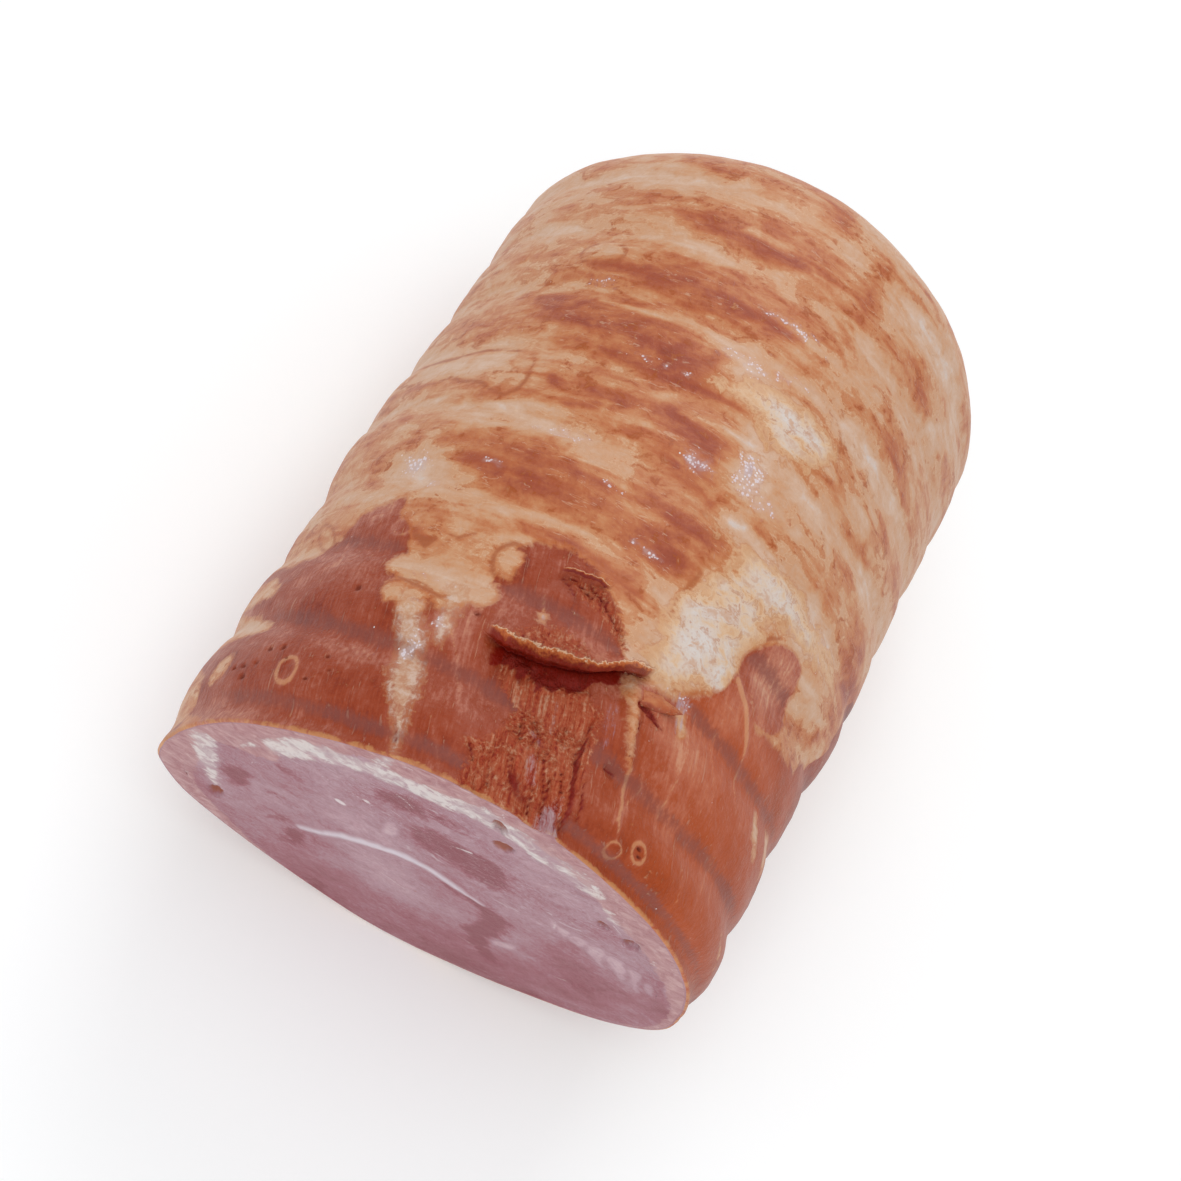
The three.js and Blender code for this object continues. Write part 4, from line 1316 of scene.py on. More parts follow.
        # Painted sheen on each groove's wall that faces the far end, on the lean off the top line; it is laid
        # with the membranes
        shine = self.net.closeness(station, *self.net.shine) * (lean > 0.5)
        shine = shine * smooth(np.abs(arc), *self.shine_arcs) * shown
        wild = hidden * (self.hidden_streaks.at(place) + 0.1)
        line = np.clip(OUTLINES.cover(*nearly) + 0.18, 0, 1)
        vein = VEINS.cover(*nearly)
        smoke = 0.43 + pushed(SMOKE, *nearly) + wild + 0.2 * line
        smoke = smoke - 0.06 * self.net.closeness(station, *self.net.clean)
        tone = 0.46 + pushed(TONE, *nearly) + 0.12 * torn + 0.05 * ring + 0.2 * line
        warm = smooth(arc + 0.3 * station, *self.warm_arcs)
        warm = warm * (1 - 0.8 * smooth(station, *self.cool_stations))
        return {
            "lean": lean,
            "smoke": smoke,
            "tone": tone - 0.24 * vein + 0.12 * smooth(arc, *self.dark_arcs),
            "vein": vein,
            # Painted shadow in dark red: under the flap's edge and in the cracks between strands
            "deep": np.clip(np.maximum(under, 0.8 * cracks), 0, 1),
            "pit": PITS.cover(arc, station),
            "frost": FROST.cover(u, v),
            "veil_and_sheen": np.maximum(VEILS.cover(*nearly), 0.12 * shine),
            "groove_shade": ring * smooth(lean, 0.5, 0.9) * (0.4 + 0.6 * shown),
            "torn": torn,
            "warm": warm * (1 - 0.8 * smooth(arc, *self.cool_arcs)),
            "past": 0.5 + past / np.maximum(near, 1e-6) / (2 * self.lip_reach),
            "near": np.clip(near, 0, 1),
            "crumb": CRUMBS.cover(arc, station),
            "fat": 0.58 * FAT_PATCHES.cover(*nearly) + 0.42 * FAT_CORES.cover(*nearly),
            "outline": line,
            "film": FILM.cover(*nearly),
            "rim": 1 - smooth(station, *self.rim_stations),
        }

    def shadow_under_flap(self, arc: Array, station: Array, place: Array) -> Array:
        """The dark red depth below the flap's edge, which hangs down in strands of uneven length: red meat,
        and painted shadow.

        Args:
            arc: Arcs.
            station: Stations.
            place: The plain roll's points, for noise.

        Returns:
            The cover of the painted shadow, from 0 to 1.
        """
        below = -MAIN_TEAR.above(arc, station)
        reach = self.red_reach - self.red_shortening * np.abs(arc - self.tear_middle)
        reach = reach + rippled(self.hanging, place)
        under = smooth(below, 0.2, 0.8) * (1 - smooth(below, reach - 1.4, reach + 0.8))
        return under * smooth(arc, *self.red_left) * (1 - smooth(arc, *self.red_right))

    def build(self) -> bpy.types.Object:
        """Makes the mesh: the hollow for the core, the cut's rim of lean, the crust and the rounded end.

        Returns:
            The piece.
        """
        roll, arcs = self.roll, self.arcs()
        dome_share = np.sin(np.linspace(0, 1, self.dome_rows + 1)[1:-1] * np.pi / 2)
        dome = roll.dome_start + (roll.length - roll.dome_start) * np.append(dome_share, self.dome_close)
        stations = np.concatenate([lines(0, self.station_zones), dome])
        station, arc = np.meshgrid(stations, arcs, indexing="ij")
        outside, crust = self.surface(arc, station)
        depth = self.layers.lean_depth(roll, arcs)
        inner = roll.core(arcs, depth, *roll.core_span)[::-1]
        share = np.append(self.rim_inset, np.arange(1, self.rim_rows) / self.rim_rows)[:, None, None]
        face = np.concatenate([inner[-1:], inner[-1] + (outside[0] - inner[-1]) * share])
        cut = self.face.fields(roll, self.layers, face)
        inward = smooth(np.linspace(1, 0, len(face)), 0, self.rim_flat)[:, None]
        face[..., 1] -= self.face.relief(face) * inward
        grid = np.concatenate([inner[:-1], face, outside])
        fields = {name: np.zeros(grid.shape[:2]) for name in (*crust, *cut)}
        for name, values in crust.items():
            fields[name][len(grid) - len(outside):] = values
        for name, values in cut.items():
            fields[name][len(inner) - 1:len(inner) - 1 + len(face)] = values
        shown = np.arange(len(grid) - 1)[:, None] >= len(inner) - 1
        poles = (roll.hub(roll.core_span[1]), roll.hub(roll.length))
        piece = shell("smoked_crust", grid, fields, poles, roll.origin, shown)
        index = np.zeros(len(piece.data.polygons), dtype=np.int32)
        index[:(len(inner) - 1 + len(face)) * len(arcs)] = 1
        piece.data.polygons.foreach_set("material_index", index)
        return piece


@dataclass
class FatBand:
    """The band of white fat between the outer lean and the filling."""

    roll: Roll
    layers: Layers = Layers()
    face: Face = Face()
    face_rows: int = 12
    middle: float = 60.0
    end: float = 180.0
    thinnest: float = 0.02
    edge_share: float = 0.02

    def build(self, arcs: Array) -> bpy.types.Object:
        """Makes the mesh: for each arc a loop back along the outside, across the cut and the inside.

        Args:
            arcs: Arcs of the crust's columns.

        Returns:
            The piece.
        """
        roll = self.roll
        held = arcs[self.layers.fat_depth(roll, arcs) > self.thinnest]
        lean, fat = self.layers.lean_depth(roll, held), self.layers.fat_depth(roll, held)
        evenly = np.linspace(0, 1, self.face_rows)[1:-1]
        share = np.concatenate([[0, self.edge_share], evenly, [1 - self.edge_share, 1]])
        loop = [(self.end, 0.0), (self.middle, 0.0), *((0.0, part) for part in share)]
        loop += [(self.middle, 1.0), (self.end, 1.0)]
        grid = np.stack([self.line(held, lean + fat * part, station) for station, part in loop], axis=1)
        fields = self.face.fields(roll, self.layers, grid)
        cut = np.array([station == 0.0 for station, _ in loop])
        grid[..., 1] -= self.face.relief(grid) * cut
        poles = (grid[0].mean(axis=0), grid[-1].mean(axis=0))
        return shell("white_fat", grid, fields, poles, roll.origin, (cut & np.roll(cut, -1))[None, :])

    def line(self, arcs: Array, depth: Array, station: float) -> Array:
        """Points of the band at one station and at a depth under the plain section, for all arcs."""
        at = np.full(len(arcs), station)
        return self.roll.placed(self.roll.moved(arcs, -depth), at, self.roll.dome(at, *self.roll.core_span))


@dataclass
class Filling:
    """The pink filling: its cut face, and its body behind it."""

    roll: Roll
    layers: Layers = Layers()
    face: Face = Face()
    face_rows: int = 100
    core_gap: float = 0.6
    edge_share: float = 0.002

    def build(self, arcs: Array) -> bpy.types.Object:
        """Makes the mesh: the cut face from its edge to its middle, and the body behind it.

        Args:
            arcs: Arcs of the crust's columns.

        Returns:
            The piece.
        """
        roll = self.roll
        depth = self.layers.lean_depth(roll, arcs) + self.layers.fat_depth(roll, arcs)
        start, end = roll.core_span
        body = roll.core(arcs, depth, start, end - self.core_gap)[::-1]
        share = np.append(self.edge_share, np.linspace(0, 1, self.face_rows + 1)[1:-1])[:, None, None]
        face = np.concatenate([body[-1:], body[-1] + (roll.hub(0) - body[-1]) * share])
        fields = {name: np.concatenate([np.zeros((len(body) - 1, len(arcs))), values])
                  for name, values in self.face.fields(roll, self.layers, face).items()}
        face[..., 1] -= self.face.relief(face)
        grid = np.concatenate([body[:-1], face])
        poles = (roll.hub(end - self.core_gap), face[-1].mean(axis=0))
        shown = np.arange(len(grid) - 1)[:, None] >= len(body) - 1
        return shell("pink_filling", grid, fields, poles, roll.origin, shown)


@dataclass
class Flake:
    """The curled flake beside the tear: a thick leaf that lifts to a point over a dark gap."""

    roll: Roll
    # arc, station, and height over the plain section
    path: tuple[Triple, ...] = (
        (12.6, 43.6, 0.6), (15, 44.6, 2.3), (18, 45.4, 3.0), (21, 45.9, 3.3), (23, 46.8, 3.6))
    widths: tuple[float, ...] = (1.9, 2.0, 1.7, 1.1, 0.15)
    thickness: float = 0.55
    lumps: Ripple = Ripple(61, 0.24, (1.4,))
    rows: int = 28
    columns: int = 20

    def build(self) -> bpy.types.Object:
        """Makes the mesh: a bent oval section, (w cos, t sin - t/2 cos^2), carried along the path.

        Returns:
            The piece.
        """
        share = np.linspace(0, 1, self.rows)
        knots = np.linspace(0, 1, len(self.path))
        arc, station, height = (np.interp(share, knots, row) for row in zip(*self.path))
        width = np.interp(share, knots, self.widths)
        turn = np.linspace(0, 2 * np.pi, self.columns, endpoint=False)
        stations = station[:, None] + width[:, None] * np.cos(turn)
        thick = self.thickness * np.minimum(width[:, None], 1)
        heights = height[:, None] + thick * np.sin(turn) - 0.5 * np.cos(turn) ** 2 * thick
        arcs = np.repeat(arc[:, None], self.columns, axis=1)
        grid = self.roll.placed(self.roll.moved(arcs, heights), stations, np.ones_like(stations))
        grid += self.lumps.at(grid)[..., None]
        level = np.zeros_like(stations)
        under = smooth(-np.cos(turn), 0.2, 0.9) * smooth(share[:, None], 0.9, 0.2)
        smoke = 0.62 + 0.4 * under + 0.2 * smooth(share[:, None], 0.7, 1.0)
        fields = {name: level for name in CRUST_FIELDS}
        fields |= {"smoke": smoke, "tone": level + 0.44, "crumb": level + 0.5}
        fields |= {"warm": level + 1, "past": level + 1}
        poles = (grid[0].mean(axis=0), grid[-1].mean(axis=0))
        return shell("torn_flake", grid, fields, poles, self.roll.origin)


class Paint:
    """A finish in the making: its material, its tree, and the colour laid so far."""

    def __init__(self, name: str, fields: tuple[str, ...]) -> None:
        """Starts an empty material.

        Args:
            name: The material's name.
            fields: Names of the mesh's fields that it reads.
        """
        self.material = bpy.data.materials.new(name)
        self.material.use_nodes = True
        self.tree = self.material.node_tree
        self.tree.nodes.clear()
        self.place = add(self.tree, Node.PLACE).outputs["Object"]
        self.fields = {}
        for label in fields:
            self.fields[label] = add(self.tree, Node.FIELD, {"attribute_name": label}).outputs["Fac"]
        self.colour: Socket | None = None

    def noise(self, size: Triple, detail: float, rough: float, turn: float = 0.0,
              twist: float = 0.0) -> Socket:
        """Noise in the object's coordinates.

        Args:
            size: Size of its largest cells along each axis, in millimetres.
            detail: Number of finer layers.
            rough: Strength of each finer layer.
            turn: Degrees that its cells are turned about the vertical.
            twist: Distortion.

        Returns:
            Values from 0 to 1, mostly 0.35 to 0.65.
        """
        settings = {"vector_type": "TEXTURE", "Scale": tuple(part * MM for part in size),
                    "Rotation": (0.0, 0.0, math.radians(turn))}
        cells = add(self.tree, Node.SCALE, settings, {"Vector": self.place}).outputs["Vector"]
        settings = {"Scale": 1.0, "Detail": detail, "Roughness": rough, "Distortion": twist}
        return add(self.tree, Node.NOISE, settings, {"Vector": cells}).outputs["Fac"]

    def mixed(self, level: float, *parts: tuple[Socket, float]) -> Socket:
        """A weighed sum: level + sum of share x part.

        Args:
            level: What the sum starts from.
            parts: Each field or mask and its share.

        Returns:
            The sum.
        """
        settings: dict = {"operation": "MULTIPLY_ADD", 2: level}
        links: dict = {}
        for part, share in parts:
            total = add(self.tree, Node.MATH, settings | {1: share}, links | {0: part}).outputs[0]
            settings, links = {"operation": "MULTIPLY_ADD"}, {2: total}
        return total

    def sway(self, source: Socket, *parts: tuple[Socket, float]) -> Socket:
        """A field moved by noises: field + sum of spread x (noise - 0.5).

        Args:
            source: The field.
            parts: Each noise and its spread.

        Returns:
            The moved field.
        """
        return self.mixed(-0.5 * sum(spread for _, spread in parts), (source, 1.0), *parts)

    def step(self, source: Socket, start: float, end: float) -> Socket:
        """A mask that goes smoothly from 0 at one value of a field to 1 at another."""
        settings = {"interpolation_type": "SMOOTHSTEP", "From Min": start, "From Max": end}
        return add(self.tree, Node.RANGE, settings, {"Value": source}).outputs["Result"]

    def lay(self, colour: str | Socket, mask: Socket, share: float = 1.0) -> None:
        """Lays a colour over the paint so far.

        Args:
            colour: A hex colour, or a socket.
            mask: Where it goes.
            share: How strongly it covers.
        """
        settings = {"operation": "MULTIPLY", 1: share, "use_clamp": True}
        cover = add(self.tree, Node.MATH, settings, {0: mask}).outputs[0]
        settings, links = {"data_type": "RGBA"}, {0: cover, 6: self.colour}
        if isinstance(colour, str):
            settings[7] = linear(colour)
        else:
            links[7] = colour
        self.colour = add(self.tree, Node.MIX, settings, links).outputs[2]

    def tones(self, source: Socket, *stops: tuple[float, str]) -> Socket:
        """Colours by a tone, from stops of place and hex colour."""
        return add(self.tree, Node.RAMP, {"stops": stops}, {"Fac": source}).outputs["Color"]

    def line(self, source: Socket, value: float, width: float) -> Socket:
        """A mask of the line where a field passes a value.

        Args:
            source: The field.
            value: The value.
            width: Half its width, in the field's values.

        Returns:
            1 on the line, 0 from the width away.
        """
        apart = add(self.tree, Node.MATH, {"operation": "SUBTRACT", 1: value}, {0: source}).outputs[0]
        apart = add(self.tree, Node.MATH, {"operation": "ABSOLUTE"}, {0: apart}).outputs[0]
        return self.step(apart, width, 0.0)

    def both(self, first: Socket, second: Socket) -> Socket:
        """The product of two masks."""
        return add(self.tree, Node.MATH, {"operation": "MULTIPLY"}, {0: first, 1: second}).outputs[0]

    def finish(self, settings: dict, bumps: tuple[tuple[Socket, float], ...]) -> bpy.types.Material:
        """Closes the tree with a surface.

        Args:
            settings: The surface's own values.
            bumps: Height fields with their depth in millimetres.

        Returns:
            The material.
        """
        links = {} if self.colour is None else {"Base Color": self.colour}
        for height, depth in bumps:
            below = {"Normal": links["Normal"]} if "Normal" in links else {}
            bump = {"Strength": 1.0, "Distance": depth * MM}
            links["Normal"] = add(self.tree, Node.BUMP, bump, {"Height": height} | below).outputs["Normal"]
        surface = add(self.tree, Node.SURFACE, settings, links)
        add(self.tree, Node.OUTPUT, {}, {"Surface": surface.outputs[0]})
        return self.material


@dataclass(frozen=True)
class SmokedCrust:
    """Cooked pork belly, cured, netted and hot smoked: a satin, slightly moist skin of meat and fat.

    Fat shows tan to cream with orange and brown stains that run with the rings. Lean shows
    orange-brown with fine fibres that slant along the roll. Its grooves carry a painted mauve shade on
    the wall that faces the cut and a painted sheen on the wall that faces the far end.
    """

    roughness: float = 0.40
    ior: float = 1.33
    fat_tones: Tones = (
        (0.0, "D0C0B8"), (0.14, "D0AE96"), (0.28, "CAA082"), (0.4, "C8946E"), (0.52, "C07E54"),
        (0.64, "B46842"), (0.8, "9E4E36"), (1.0, "883A26"))
    cream_tones: Tones = (
        (0.2, "CA966C"), (0.38, "D0A47E"), (0.56, "D6B494"), (0.72, "D4BEAC"), (0.94, "D4CAC4"))
    lean_tones: Tones = (
        (0.0, "CEA084"), (0.18, "BA7A62"), (0.34, "AA624E"), (0.48, "9A4830"), (0.62, "943C1E"),
        (0.8, "842C0E"), (1.0, "681804"))
    film_tones: Tones = ((0.38, "BE8E70"), (0.5, "C8A48A"), (0.62, "D2B8A6"))
    torn_tones: Tones = (
        (0.34, "841C0A"), (0.42, "A23C1C"), (0.54, "B25A38"), (0.7, "D09878"))
    # Across the lip from below its edge: painted shadow in dark red, the golden rolled edge, then a painted
    # highlight on its pale crest
    lip_tones: Tones = (
        (0.4, "780C00"), (0.538, "7A1604"), (0.566, "8E3814"), (0.588, "B05624"), (0.614, "BE703C"),
        (0.628, "E4C4A4"), (0.642, "A05C40"))

    def material(self) -> bpy.types.Material:
        """Builds the crust's material, from the fat up to the granules.

        Returns:
            The material.
        """
        paint = Paint("smoked pork crust", CRUST_FIELDS)
        fields = paint.fields
        streak = paint.noise((26, 7, 26), 2, 0.45, twist=1.2)
        patch = paint.noise((11, 6.5, 11), 4, 0.52, twist=1.2)
        thread = paint.noise((18, 3.0, 18), 4, 0.52, twist=0.6)
        mottle = paint.noise((3.2, 2.6, 3.2), 4, 0.58, twist=0.7)
        fine = paint.noise((0.9, 0.8, 0.9), 4, 0.6)
        fibre = paint.noise((0.9, 13, 0.9), 5, 0.62, turn=17, twist=0.2)
        cloud = paint.noise((16, 14, 16), 4, 0.55)
        self.fat(paint, streak, patch, thread, mottle, fine, cloud)
        tone = paint.sway(fields["tone"], (fibre, 0.75), (cloud, 1.1), (fine, 0.3), (mottle, 0.4))
        edge = paint.sway(fields["lean"], (mottle, 0.7), (patch, 0.5), (fine, 0.3))
        paint.lay("B4622E", paint.line(edge, 0.4, 0.24), 0.5)
        lean = paint.step(edge, 0.36, 0.66)
        paint.lay(paint.tones(tone, *self.lean_tones), lean)
        paint.lay("B85010", paint.both(fields["warm"], lean), 0.56)
        paint.lay("C8967C", paint.both(paint.step(fibre, 0.6, 0.7), lean), 0.4)
        vein = paint.step(paint.sway(fields["vein"], (fine, 0.4), (mottle, 0.5)), 0.46, 0.78)
        paint.lay("D29A6E", paint.both(vein, lean), 0.5)
        film = paint.sway(fields["film"], (mottle, 1.0), (fibre, 0.8), (fine, 0.5))
        paint.lay("B87850", paint.line(film, 0.36, 0.2), 0.4)
        smear = paint.tones(paint.sway(mottle, (fine, 0.5)), *self.film_tones)
        paint.lay(smear, paint.step(film, 0.25, 0.85), 0.85)
        # Painted shade: a mauve band on each groove's wall that faces the cut
        groove_shade = paint.sway(fields["groove_shade"], (cloud, 1.4), (fibre, 1.2), (mottle, 0.8))
        paint.lay("7E4A44", paint.step(groove_shade, 0.3, 1.1), 0.55)
        rough = self.tear(paint, mottle, fine)
        paint.lay("7A2C14", paint.step(paint.sway(fields["pit"], (fine, 0.4)), 0.3, 0.7), 0.9)
        haze = paint.step(paint.sway(fields["frost"], (mottle, 2.0), (patch, 1.0)), 0.5, 1.4)
        paint.lay("CABABC", haze, 0.5)
        bloom = paint.step(paint.sway(fields["frost"], (mottle, 2.6), (fine, 0.8)), 0.5, 1.1)
        paint.lay("DED4DC", self.dots(paint, 0.85, bloom, (0.5, 0.0)), 0.72)
        speck = self.granules(paint, mottle, cloud)
        paint.lay("EEE6E4", speck, 0.9)
        rim = paint.step(paint.sway(fields["rim"], (mottle, 2.4), (cloud, 1.4), (fine, 0.8)), 0.5, 1.1)
        paint.lay("CE9860", rim, 0.5)
        bumps = ((mottle, 0.24), (fibre, 0.12), (fine, 0.14), (patch, 0.35), (speck, 0.06), (rough, 0.6))
        return paint.finish({"Roughness": self.roughness, "IOR": self.ior}, bumps)

    def granules(self, paint: Paint, mottle: Socket, cloud: Socket) -> Socket:
        """Mask of the white granules: dots in cells 1.4 mm wide, thick on frosted crust, rare elsewhere."""
        reach = paint.sway(paint.fields["frost"], (mottle, 2.4), (cloud, 0.6))
        return self.dots(paint, 1.4, reach, (0.3, 0.2))

    def dots(self, paint: Paint, pitch: float, reach: Socket, spread: Span) -> Socket:
        """Mask of dots in cells, each where the distance to its middle is under a reach with some luck.

        The reach is gain x reach + more x (luck - 0.5), with luck 1 in about a tenth of the cells.

        Args:
            paint: The finish in the making.
            pitch: Size of a cell in millimetres.
            reach: Field that makes dots larger.
            spread: The gain, and how much more the lucky cells get.

        Returns:
            The mask.
        """
        settings = {"vector_type": "TEXTURE", "Scale": (pitch * MM,) * 3}
        cells = add(paint.tree, Node.SCALE, settings, {"Vector": paint.place}).outputs["Vector"]
        found = add(paint.tree, Node.CELLS, {"Scale": 1.0}, {"Vector": cells}).outputs
        luck = paint.step(found["Color"], 0.86, 0.92)
        gain, more = spread
        inside = paint.mixed(-0.5 * more, (reach, gain), (luck, more), (found["Distance"], -1.0))
        return paint.step(inside, 0.0, 0.12)

    def fat(self, paint: Paint, streak: Socket, patch: Socket, thread: Socket, mottle: Socket, fine: Socket,
            cloud: Socket) -> None:
        """Paints the smoked fat: tan clouded with brown, orange contour lines, and the cream patches.

        Args:
            paint: The finish in the making.
            streak: Slow noise along the rings.
            patch: Noise of patches some millimetres wide.
            thread: Narrow noise along the rings.
            mottle: Noise of a few millimetres.
            fine: Grain.
            cloud: Slow noise the same way along and across.
        """
        fields = paint.fields
        clouds = ((streak, 0.5), (patch, 0.62), (thread, 0.3), (mottle, 0.3), (fine, 0.16))
        smoke = paint.sway(fields["smoke"], *clouds)
        paint.colour = paint.tones(smoke, *self.fat_tones)
        smear = paint.step(paint.sway(thread, (mottle, 0.3)), 0.5, 0.66)
        paint.lay("B0582A", paint.both(smear, paint.step(smoke, 0.36, 0.6)), 0.3)
        spots = paint.step(paint.sway(mottle, (fine, 0.3), (patch, 0.4)), 0.56, 0.67)
        paint.lay("A04E1C", paint.both(spots, paint.step(paint.sway(smoke, (cloud, 1.4)), 0.44, 0.66)), 0.72)
        paint.lay("AE5E2C", paint.both(paint.line(smoke, 0.46, 0.016), paint.step(cloud, 0.45, 0.56)), 0.5)
        paint.lay("DEC6AC", paint.both(paint.line(smoke, 0.4, 0.014), paint.step(cloud, 0.42, 0.54)), 0.35)
        paint.lay("DEC0A4", paint.both(paint.line(thread, 0.44, 0.014), paint.step(mottle, 0.46, 0.54)), 0.35)
        paint.lay("A45A34", paint.step(paint.sway(fields["outline"], (mottle, 0.4)), 0.5, 0.86), 0.8)
        cream = paint.sway(fields["fat"], (patch, 1.3), (cloud, 0.4), (mottle, 1.1), (fine, 0.3))
        gate = paint.step(fields["fat"], 0.0, 0.14)
        paint.lay("B46A36", paint.both(paint.line(cream, 0.2, 0.1), gate), 0.4)
        paint.lay(paint.tones(cream, *self.cream_tones), paint.both(paint.step(cream, 0.18, 0.4), gate))
        inside = paint.both(paint.step(cream, 0.24, 0.5), gate)
        flecks = paint.step(paint.sway(mottle, (patch, 0.7), (fine, 0.3)), 0.52, 0.7)
        paint.lay("C28652", paint.both(flecks, inside), 0.55)
        squiggle = paint.line(paint.sway(patch, (mottle, 0.6), (fine, 0.2)), 0.5, 0.07)
        paint.lay("B4703E", paint.both(paint.both(squiggle, inside), paint.step(mottle, 0.44, 0.56)), 0.6)
        paint.lay("BA7444", paint.both(paint.line(cream, 0.42, 0.05), paint.step(streak, 0.44, 0.54)), 0.5)

    def tear(self, paint: Paint, mottle: Socket, fine: Socket) -> Socket:
        """Paints the torn meat: strands, bluish membranes and the painted sheen on the grooves, the rolled
        lip with its painted shadow and painted highlight, and the dark red depth under it, partly painted
        shadow.

        Args:
            paint: The finish in the making.
            mottle: Noise of a few millimetres.
            fine: Grain.

        Returns:
            The height of the strands and crumbs.
        """
        fields = paint.fields
        strand = paint.noise((0.9, 11, 0.9), 6, 0.72, turn=17, twist=0.6)
        torn = paint.step(paint.sway(fields["torn"], (fine, 1.0), (mottle, 0.6)), 0.45, 0.75)
        paint.lay(paint.tones(paint.sway(strand, (fine, 0.4)), *self.torn_tones), torn, 0.85)
        crumb = paint.step(paint.sway(fields["crumb"], (mottle, 1.2), (fine, 0.6)), 0.4, 0.8)
        paint.lay(paint.tones(fine, *self.torn_tones), crumb, 0.8)
        # Bluish-white membranes, and the painted sheen on the grooves
        veil_and_sheen = paint.step(paint.sway(fields["veil_and_sheen"], (strand, 3.0), (fine, 0.6)), 0.4, 1.2)
        paint.lay("B0A4B4", veil_and_sheen, 0.55)
        # Painted shadow in dark red, under the flap and in the cracks
        deep = paint.step(paint.sway(fields["deep"], (fine, 0.6), (mottle, 0.4)), 0.3, 0.8)
        paint.lay("7C0E02", deep, 0.94)
        # The rolled lip, with its painted shadow below the edge and its painted highlight on the crest
        past = paint.sway(fields["past"], (fine, 0.16), (mottle, 0.14))
        lip = paint.both(paint.step(past, 0.4, 0.44), paint.step(past, 0.67, 0.64))
        paint.lay(paint.tones(past, *self.lip_tones), paint.both(lip, fields["near"]), 0.9)
        strands = paint.both(paint.mixed(-0.5, (strand, 1.0)), torn)
        crumbs = paint.both(paint.mixed(-0.5, (fine, 1.0)), crumb)
        return paint.mixed(0.0, (strands, 1.0), (crumbs, 1.0))


@dataclass(frozen=True)
class CutMeat:
    """Cooked cured pork, cut with a knife: a soft satin face of lean, waxy fat and marbled filling."""

    name: str
    roughness: float = 0.46
    ior: float = 1.35
    bleed: float = 0.1
    filling_tones: Tones = (
        (0.0, "CEBEC2"), (0.22, "BFA2A8"), (0.42, "AE8B93"), (0.6, "A07982"), (0.8, "945A64"),
        (1.0, "84464E"))
    lean_tones: Tones = ((0.34, "BA9492"), (0.48, "AC8081"), (0.64, "9C686C"))
    fat_tones: Tones = ((0.36, "AE9498"), (0.47, "C0AEAE"), (0.56, "D6CECA"))

    def material(self) -> bpy.types.Material:
        """Builds the material, which the three layers of the cut share in all but its name and gloss.

        Returns:
            The material.
        """
        paint = Paint(self.name, CUT_FIELDS)
        fields = paint.fields
        cloud = paint.noise((20, 20, 14), 4, 0.55, twist=0.4)
        mottle = paint.noise((3.6, 3.6, 2.6), 7, 0.66, twist=0.8)
        fine = paint.noise((0.8, 0.8, 0.8), 5, 0.66)
        streak = paint.noise((9, 9, 3), 6, 0.64, twist=1.2)
        dark = paint.step(paint.sway(fields["dark"], (mottle, 0.9), (fine, 0.3)), 0.2, 0.9)
        pale = paint.step(paint.sway(fields["pale"], (mottle, 1.6), (fine, 0.4)), 0.4, 0.75)
        base = paint.mixed(0.63, (fields["shade"], 0.32), (dark, 0.4), (pale, -0.26), (fields["glow"], -0.16))
        tone = paint.sway(base, (cloud, 0.6), (mottle, 0.55), (fine, 0.45))
        paint.colour = paint.tones(tone, *self.filling_tones)
        marbled = paint.step(paint.sway(fields["marble"], (cloud, 2.0)), 0.5, 1.2)
        paint.lay("C9BAC2", paint.both(paint.line(streak, 0.5, 0.014), marbled), 0.4)
        paint.lay("C8B8BC", paint.both(paint.step(streak, 0.6, 0.7), fields["marble"]), 0.5)
        paint.lay("875A5E", paint.both(paint.line(mottle, 0.6, 0.03), fields["marble"]), 0.3)
        pink = paint.step(paint.sway(fields["pink"], (mottle, 1.8), (streak, 1.2), (fine, 0.4)), 0.36, 0.66)
        paint.lay(paint.tones(paint.sway(mottle, (streak, 0.5)), *self.lean_tones), pink)
        white = paint.step(paint.sway(fields["white"], (mottle, 1.8), (streak, 1.4), (fine, 0.4)), 0.34, 0.9)
        paint.lay(paint.tones(paint.sway(mottle, (cloud, 0.6)), *self.fat_tones), white, 0.84)
        paint.lay("DDD6D6", paint.step(paint.sway(fields["dash"], (fine, 0.4)), 0.42, 0.7), 0.7)
        seam = paint.step(paint.sway(fields["seam"], (mottle, 0.6), (fine, 0.2)), 0.25, 0.9)
        paint.lay("D0C6CE", seam, 0.85)
        paint.lay("9C5A44", paint.step(paint.sway(fields["pit"], (fine, 0.2)), 0.4, 0.7), 0.9)
        settings = {"Roughness": self.roughness, "IOR": self.ior, "Subsurface Weight": self.bleed,
                    "Subsurface Radius": (0.003, 0.0015, 0.0012), "Subsurface Scale": 1.0}
        return paint.finish(settings, ((mottle, 0.2), (fine, 0.14)))


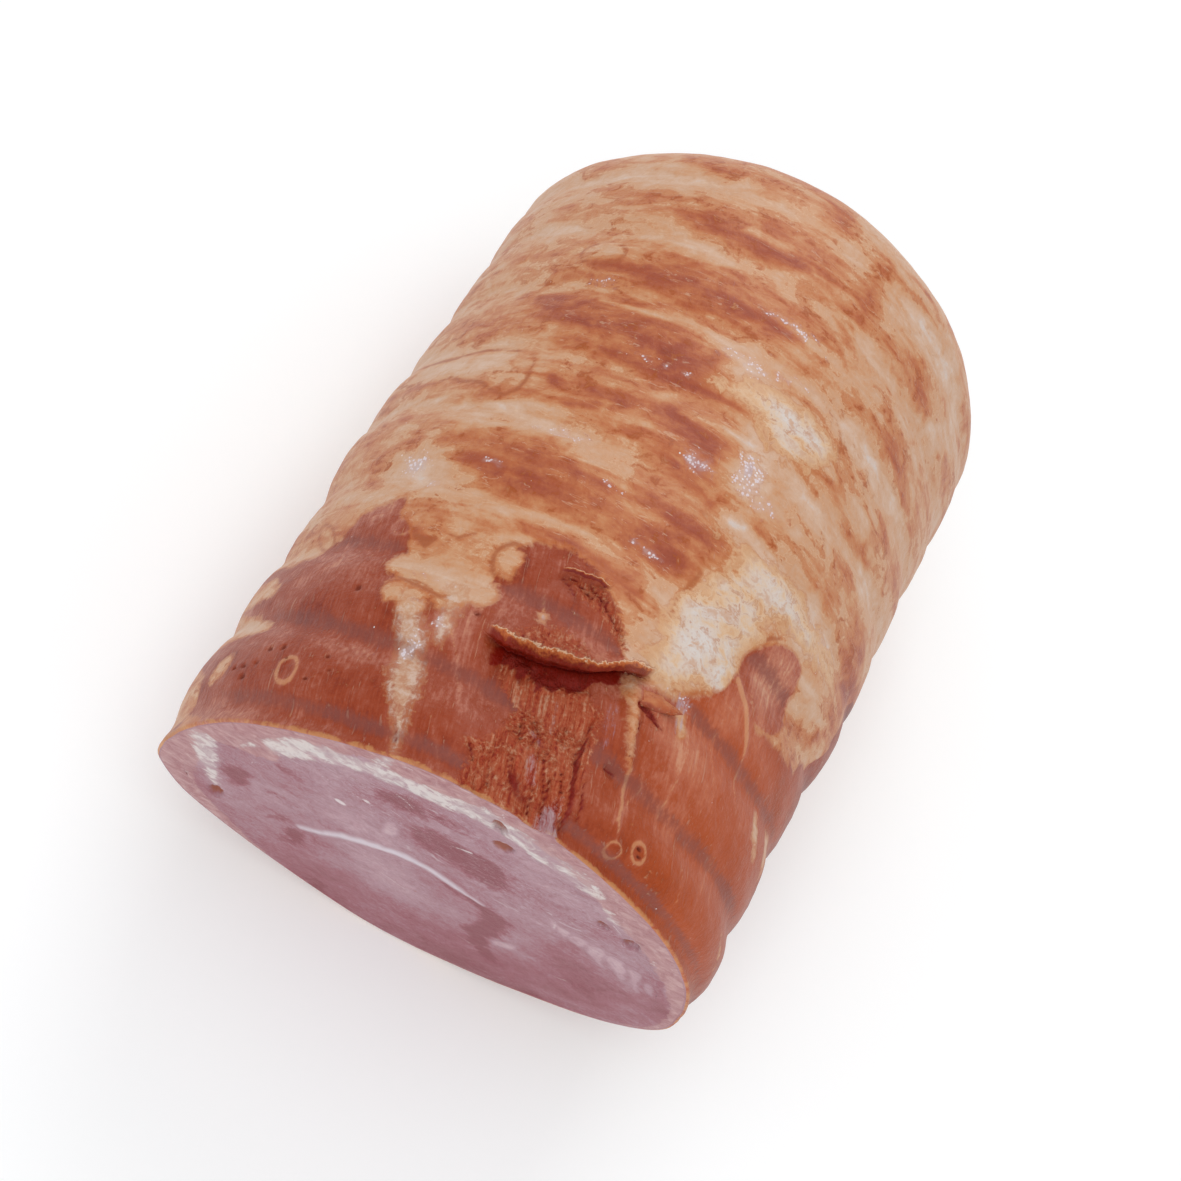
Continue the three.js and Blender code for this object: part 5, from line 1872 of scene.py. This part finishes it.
@dataclass
class Studio:
    """The pale floor, the soft lights and the camera at the photograph's viewing angle."""

    roll: Roll
    azimuth: float = -5.66
    elevation: float = 61.63
    distance: float = 373.7
    aim: Triple = (-1.63, 92.35, 42.0)
    picture_turn: float = 37.42
    focal_pixels: float = 1409.6
    sensor: float = 36.0
    floor_half: float = 3.0
    floor_gap: float = 0.3
    sky: float = 0.62
    floor_glow: float = 0.1
    clip: Span = (0.01, 50.0)
    light_aim: Triple = (0.0, 0.0, 0.05)
    # name, place in metres, side in metres, watts
    lights: tuple[tuple[str, Triple, float, float], ...] = (
        ("back_light", (-0.14, 0.95, 0.8), 0.8, 4.4), ("top_light", (0.02, 0.0, 1.4), 1.2, 3.2),
        ("front_light", (0.0, -0.95, 0.6), 1.0, 4.0))

    def camera(self) -> None:
        """Stands the camera back from its aim, turned about its view."""
        data = bpy.data.cameras.new("camera")
        data.sensor_width = self.sensor
        data.sensor_fit = "HORIZONTAL"
        data.lens = self.sensor * self.focal_pixels / PHOTO_PIXELS
        data.clip_start, data.clip_end = self.clip
        azimuth, elevation = math.radians(self.azimuth), math.radians(self.elevation)
        back = Vector((math.sin(azimuth) * math.cos(elevation), -math.cos(azimuth) * math.cos(elevation),
                       math.sin(elevation)))
        right = (-back).cross(Vector((0, 0, 1))).normalized()
        up = right.cross(-back)
        turn = math.radians(self.picture_turn)
        across = right * math.cos(turn) + up * math.sin(turn)
        upward = up * math.cos(turn) - right * math.sin(turn)
        camera = bpy.data.objects.new("camera", data)
        camera.matrix_world = Matrix((across, upward, back)).transposed().to_4x4()
        camera.location = (Vector(self.aim) + Vector(self.roll.origin) + back * self.distance) * MM
        bpy.context.scene.collection.objects.link(camera)
        bpy.context.scene.camera = camera

    def light(self, name: str, place: Triple, side: float, watts: float) -> None:
        """Adds a square soft light that faces the roll.

        Args:
            name: Its name.
            place: Its place in metres.
            side: Its side in metres.
            watts: Its power.
        """
        data = bpy.data.lights.new(name, "AREA")
        data.shape, data.size, data.energy = "SQUARE", side, watts
        light = bpy.data.objects.new(name, data)
        light.location = place
        toward = Vector(self.light_aim) - Vector(place)
        light.rotation_euler = toward.to_track_quat("-Z", "Y").to_euler()
        bpy.context.scene.collection.objects.link(light)

    def floor(self) -> None:
        """Lays a plain white floor that glows faintly, just under the roll."""
        mesh = bpy.data.meshes.new("floor")
        half, height = self.floor_half, -self.floor_gap * MM
        corners = [(-half, -half, height), (half, -half, height), (half, half, height), (-half, half, height)]
        mesh.from_pydata(corners, [], [(0, 1, 2, 3)])
        floor = bpy.data.objects.new("floor", mesh)
        bpy.context.scene.collection.objects.link(floor)
        paint = Paint("matt white sheet, lit from below", ())
        settings = {"Base Color": linear("F4F6F7"), "Roughness": 0.9, "Emission Color": linear("FFFFFF"),
                    "Emission Strength": self.floor_glow}
        mesh.materials.append(paint.finish(settings, ()))

    def build(self) -> None:
        """Sets the sky, the lights, the floor and the camera."""
        world = bpy.data.worlds.new("soft studio")
        world.use_nodes = True
        background = world.node_tree.nodes["Background"]
        background.inputs["Color"].default_value = (1, 1, 1, 1)
        background.inputs["Strength"].default_value = self.sky
        bpy.context.scene.world = world
        bpy.context.scene.view_settings.view_transform = "Standard"
        for row in self.lights:
            self.light(*row)
        self.floor()
        self.camera()


def main() -> None:
    """Builds the roll's layers and the studio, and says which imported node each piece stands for."""
    logging.basicConfig(level=logging.INFO, format="%(name)s: %(message)s")
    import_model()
    roll = Roll()
    Studio(roll).build()
    crust = Crust(roll)
    arcs = crust.arcs()
    skin = SmokedCrust().material()
    rows = (
        (crust.build(), Layer.WRAP, Slot.CRUST, (skin, CutMeat("cut cured lean").material())),
        (Flake(roll).build(), Layer.WRAP, Slot.CRUST, (skin,)),
        (FatBand(roll).build(arcs), Layer.FAT, Slot.FAT, (CutMeat("cut pork fat", 0.42).material(),)),
        (Filling(roll).build(arcs), Layer.STUFFING, Slot.FILLING,
         (CutMeat("cooked pork filling").material(),)),
    )
    for piece, layer, slot, materials in rows:
        for material in materials:
            piece.data.materials.append(material)
        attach(piece, "root")
        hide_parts(layer.value)
        LOG.info("%s stands for %s with %d faces", piece.name, layer.value, len(piece.data.polygons))


if __name__ == "__main__":
    main()
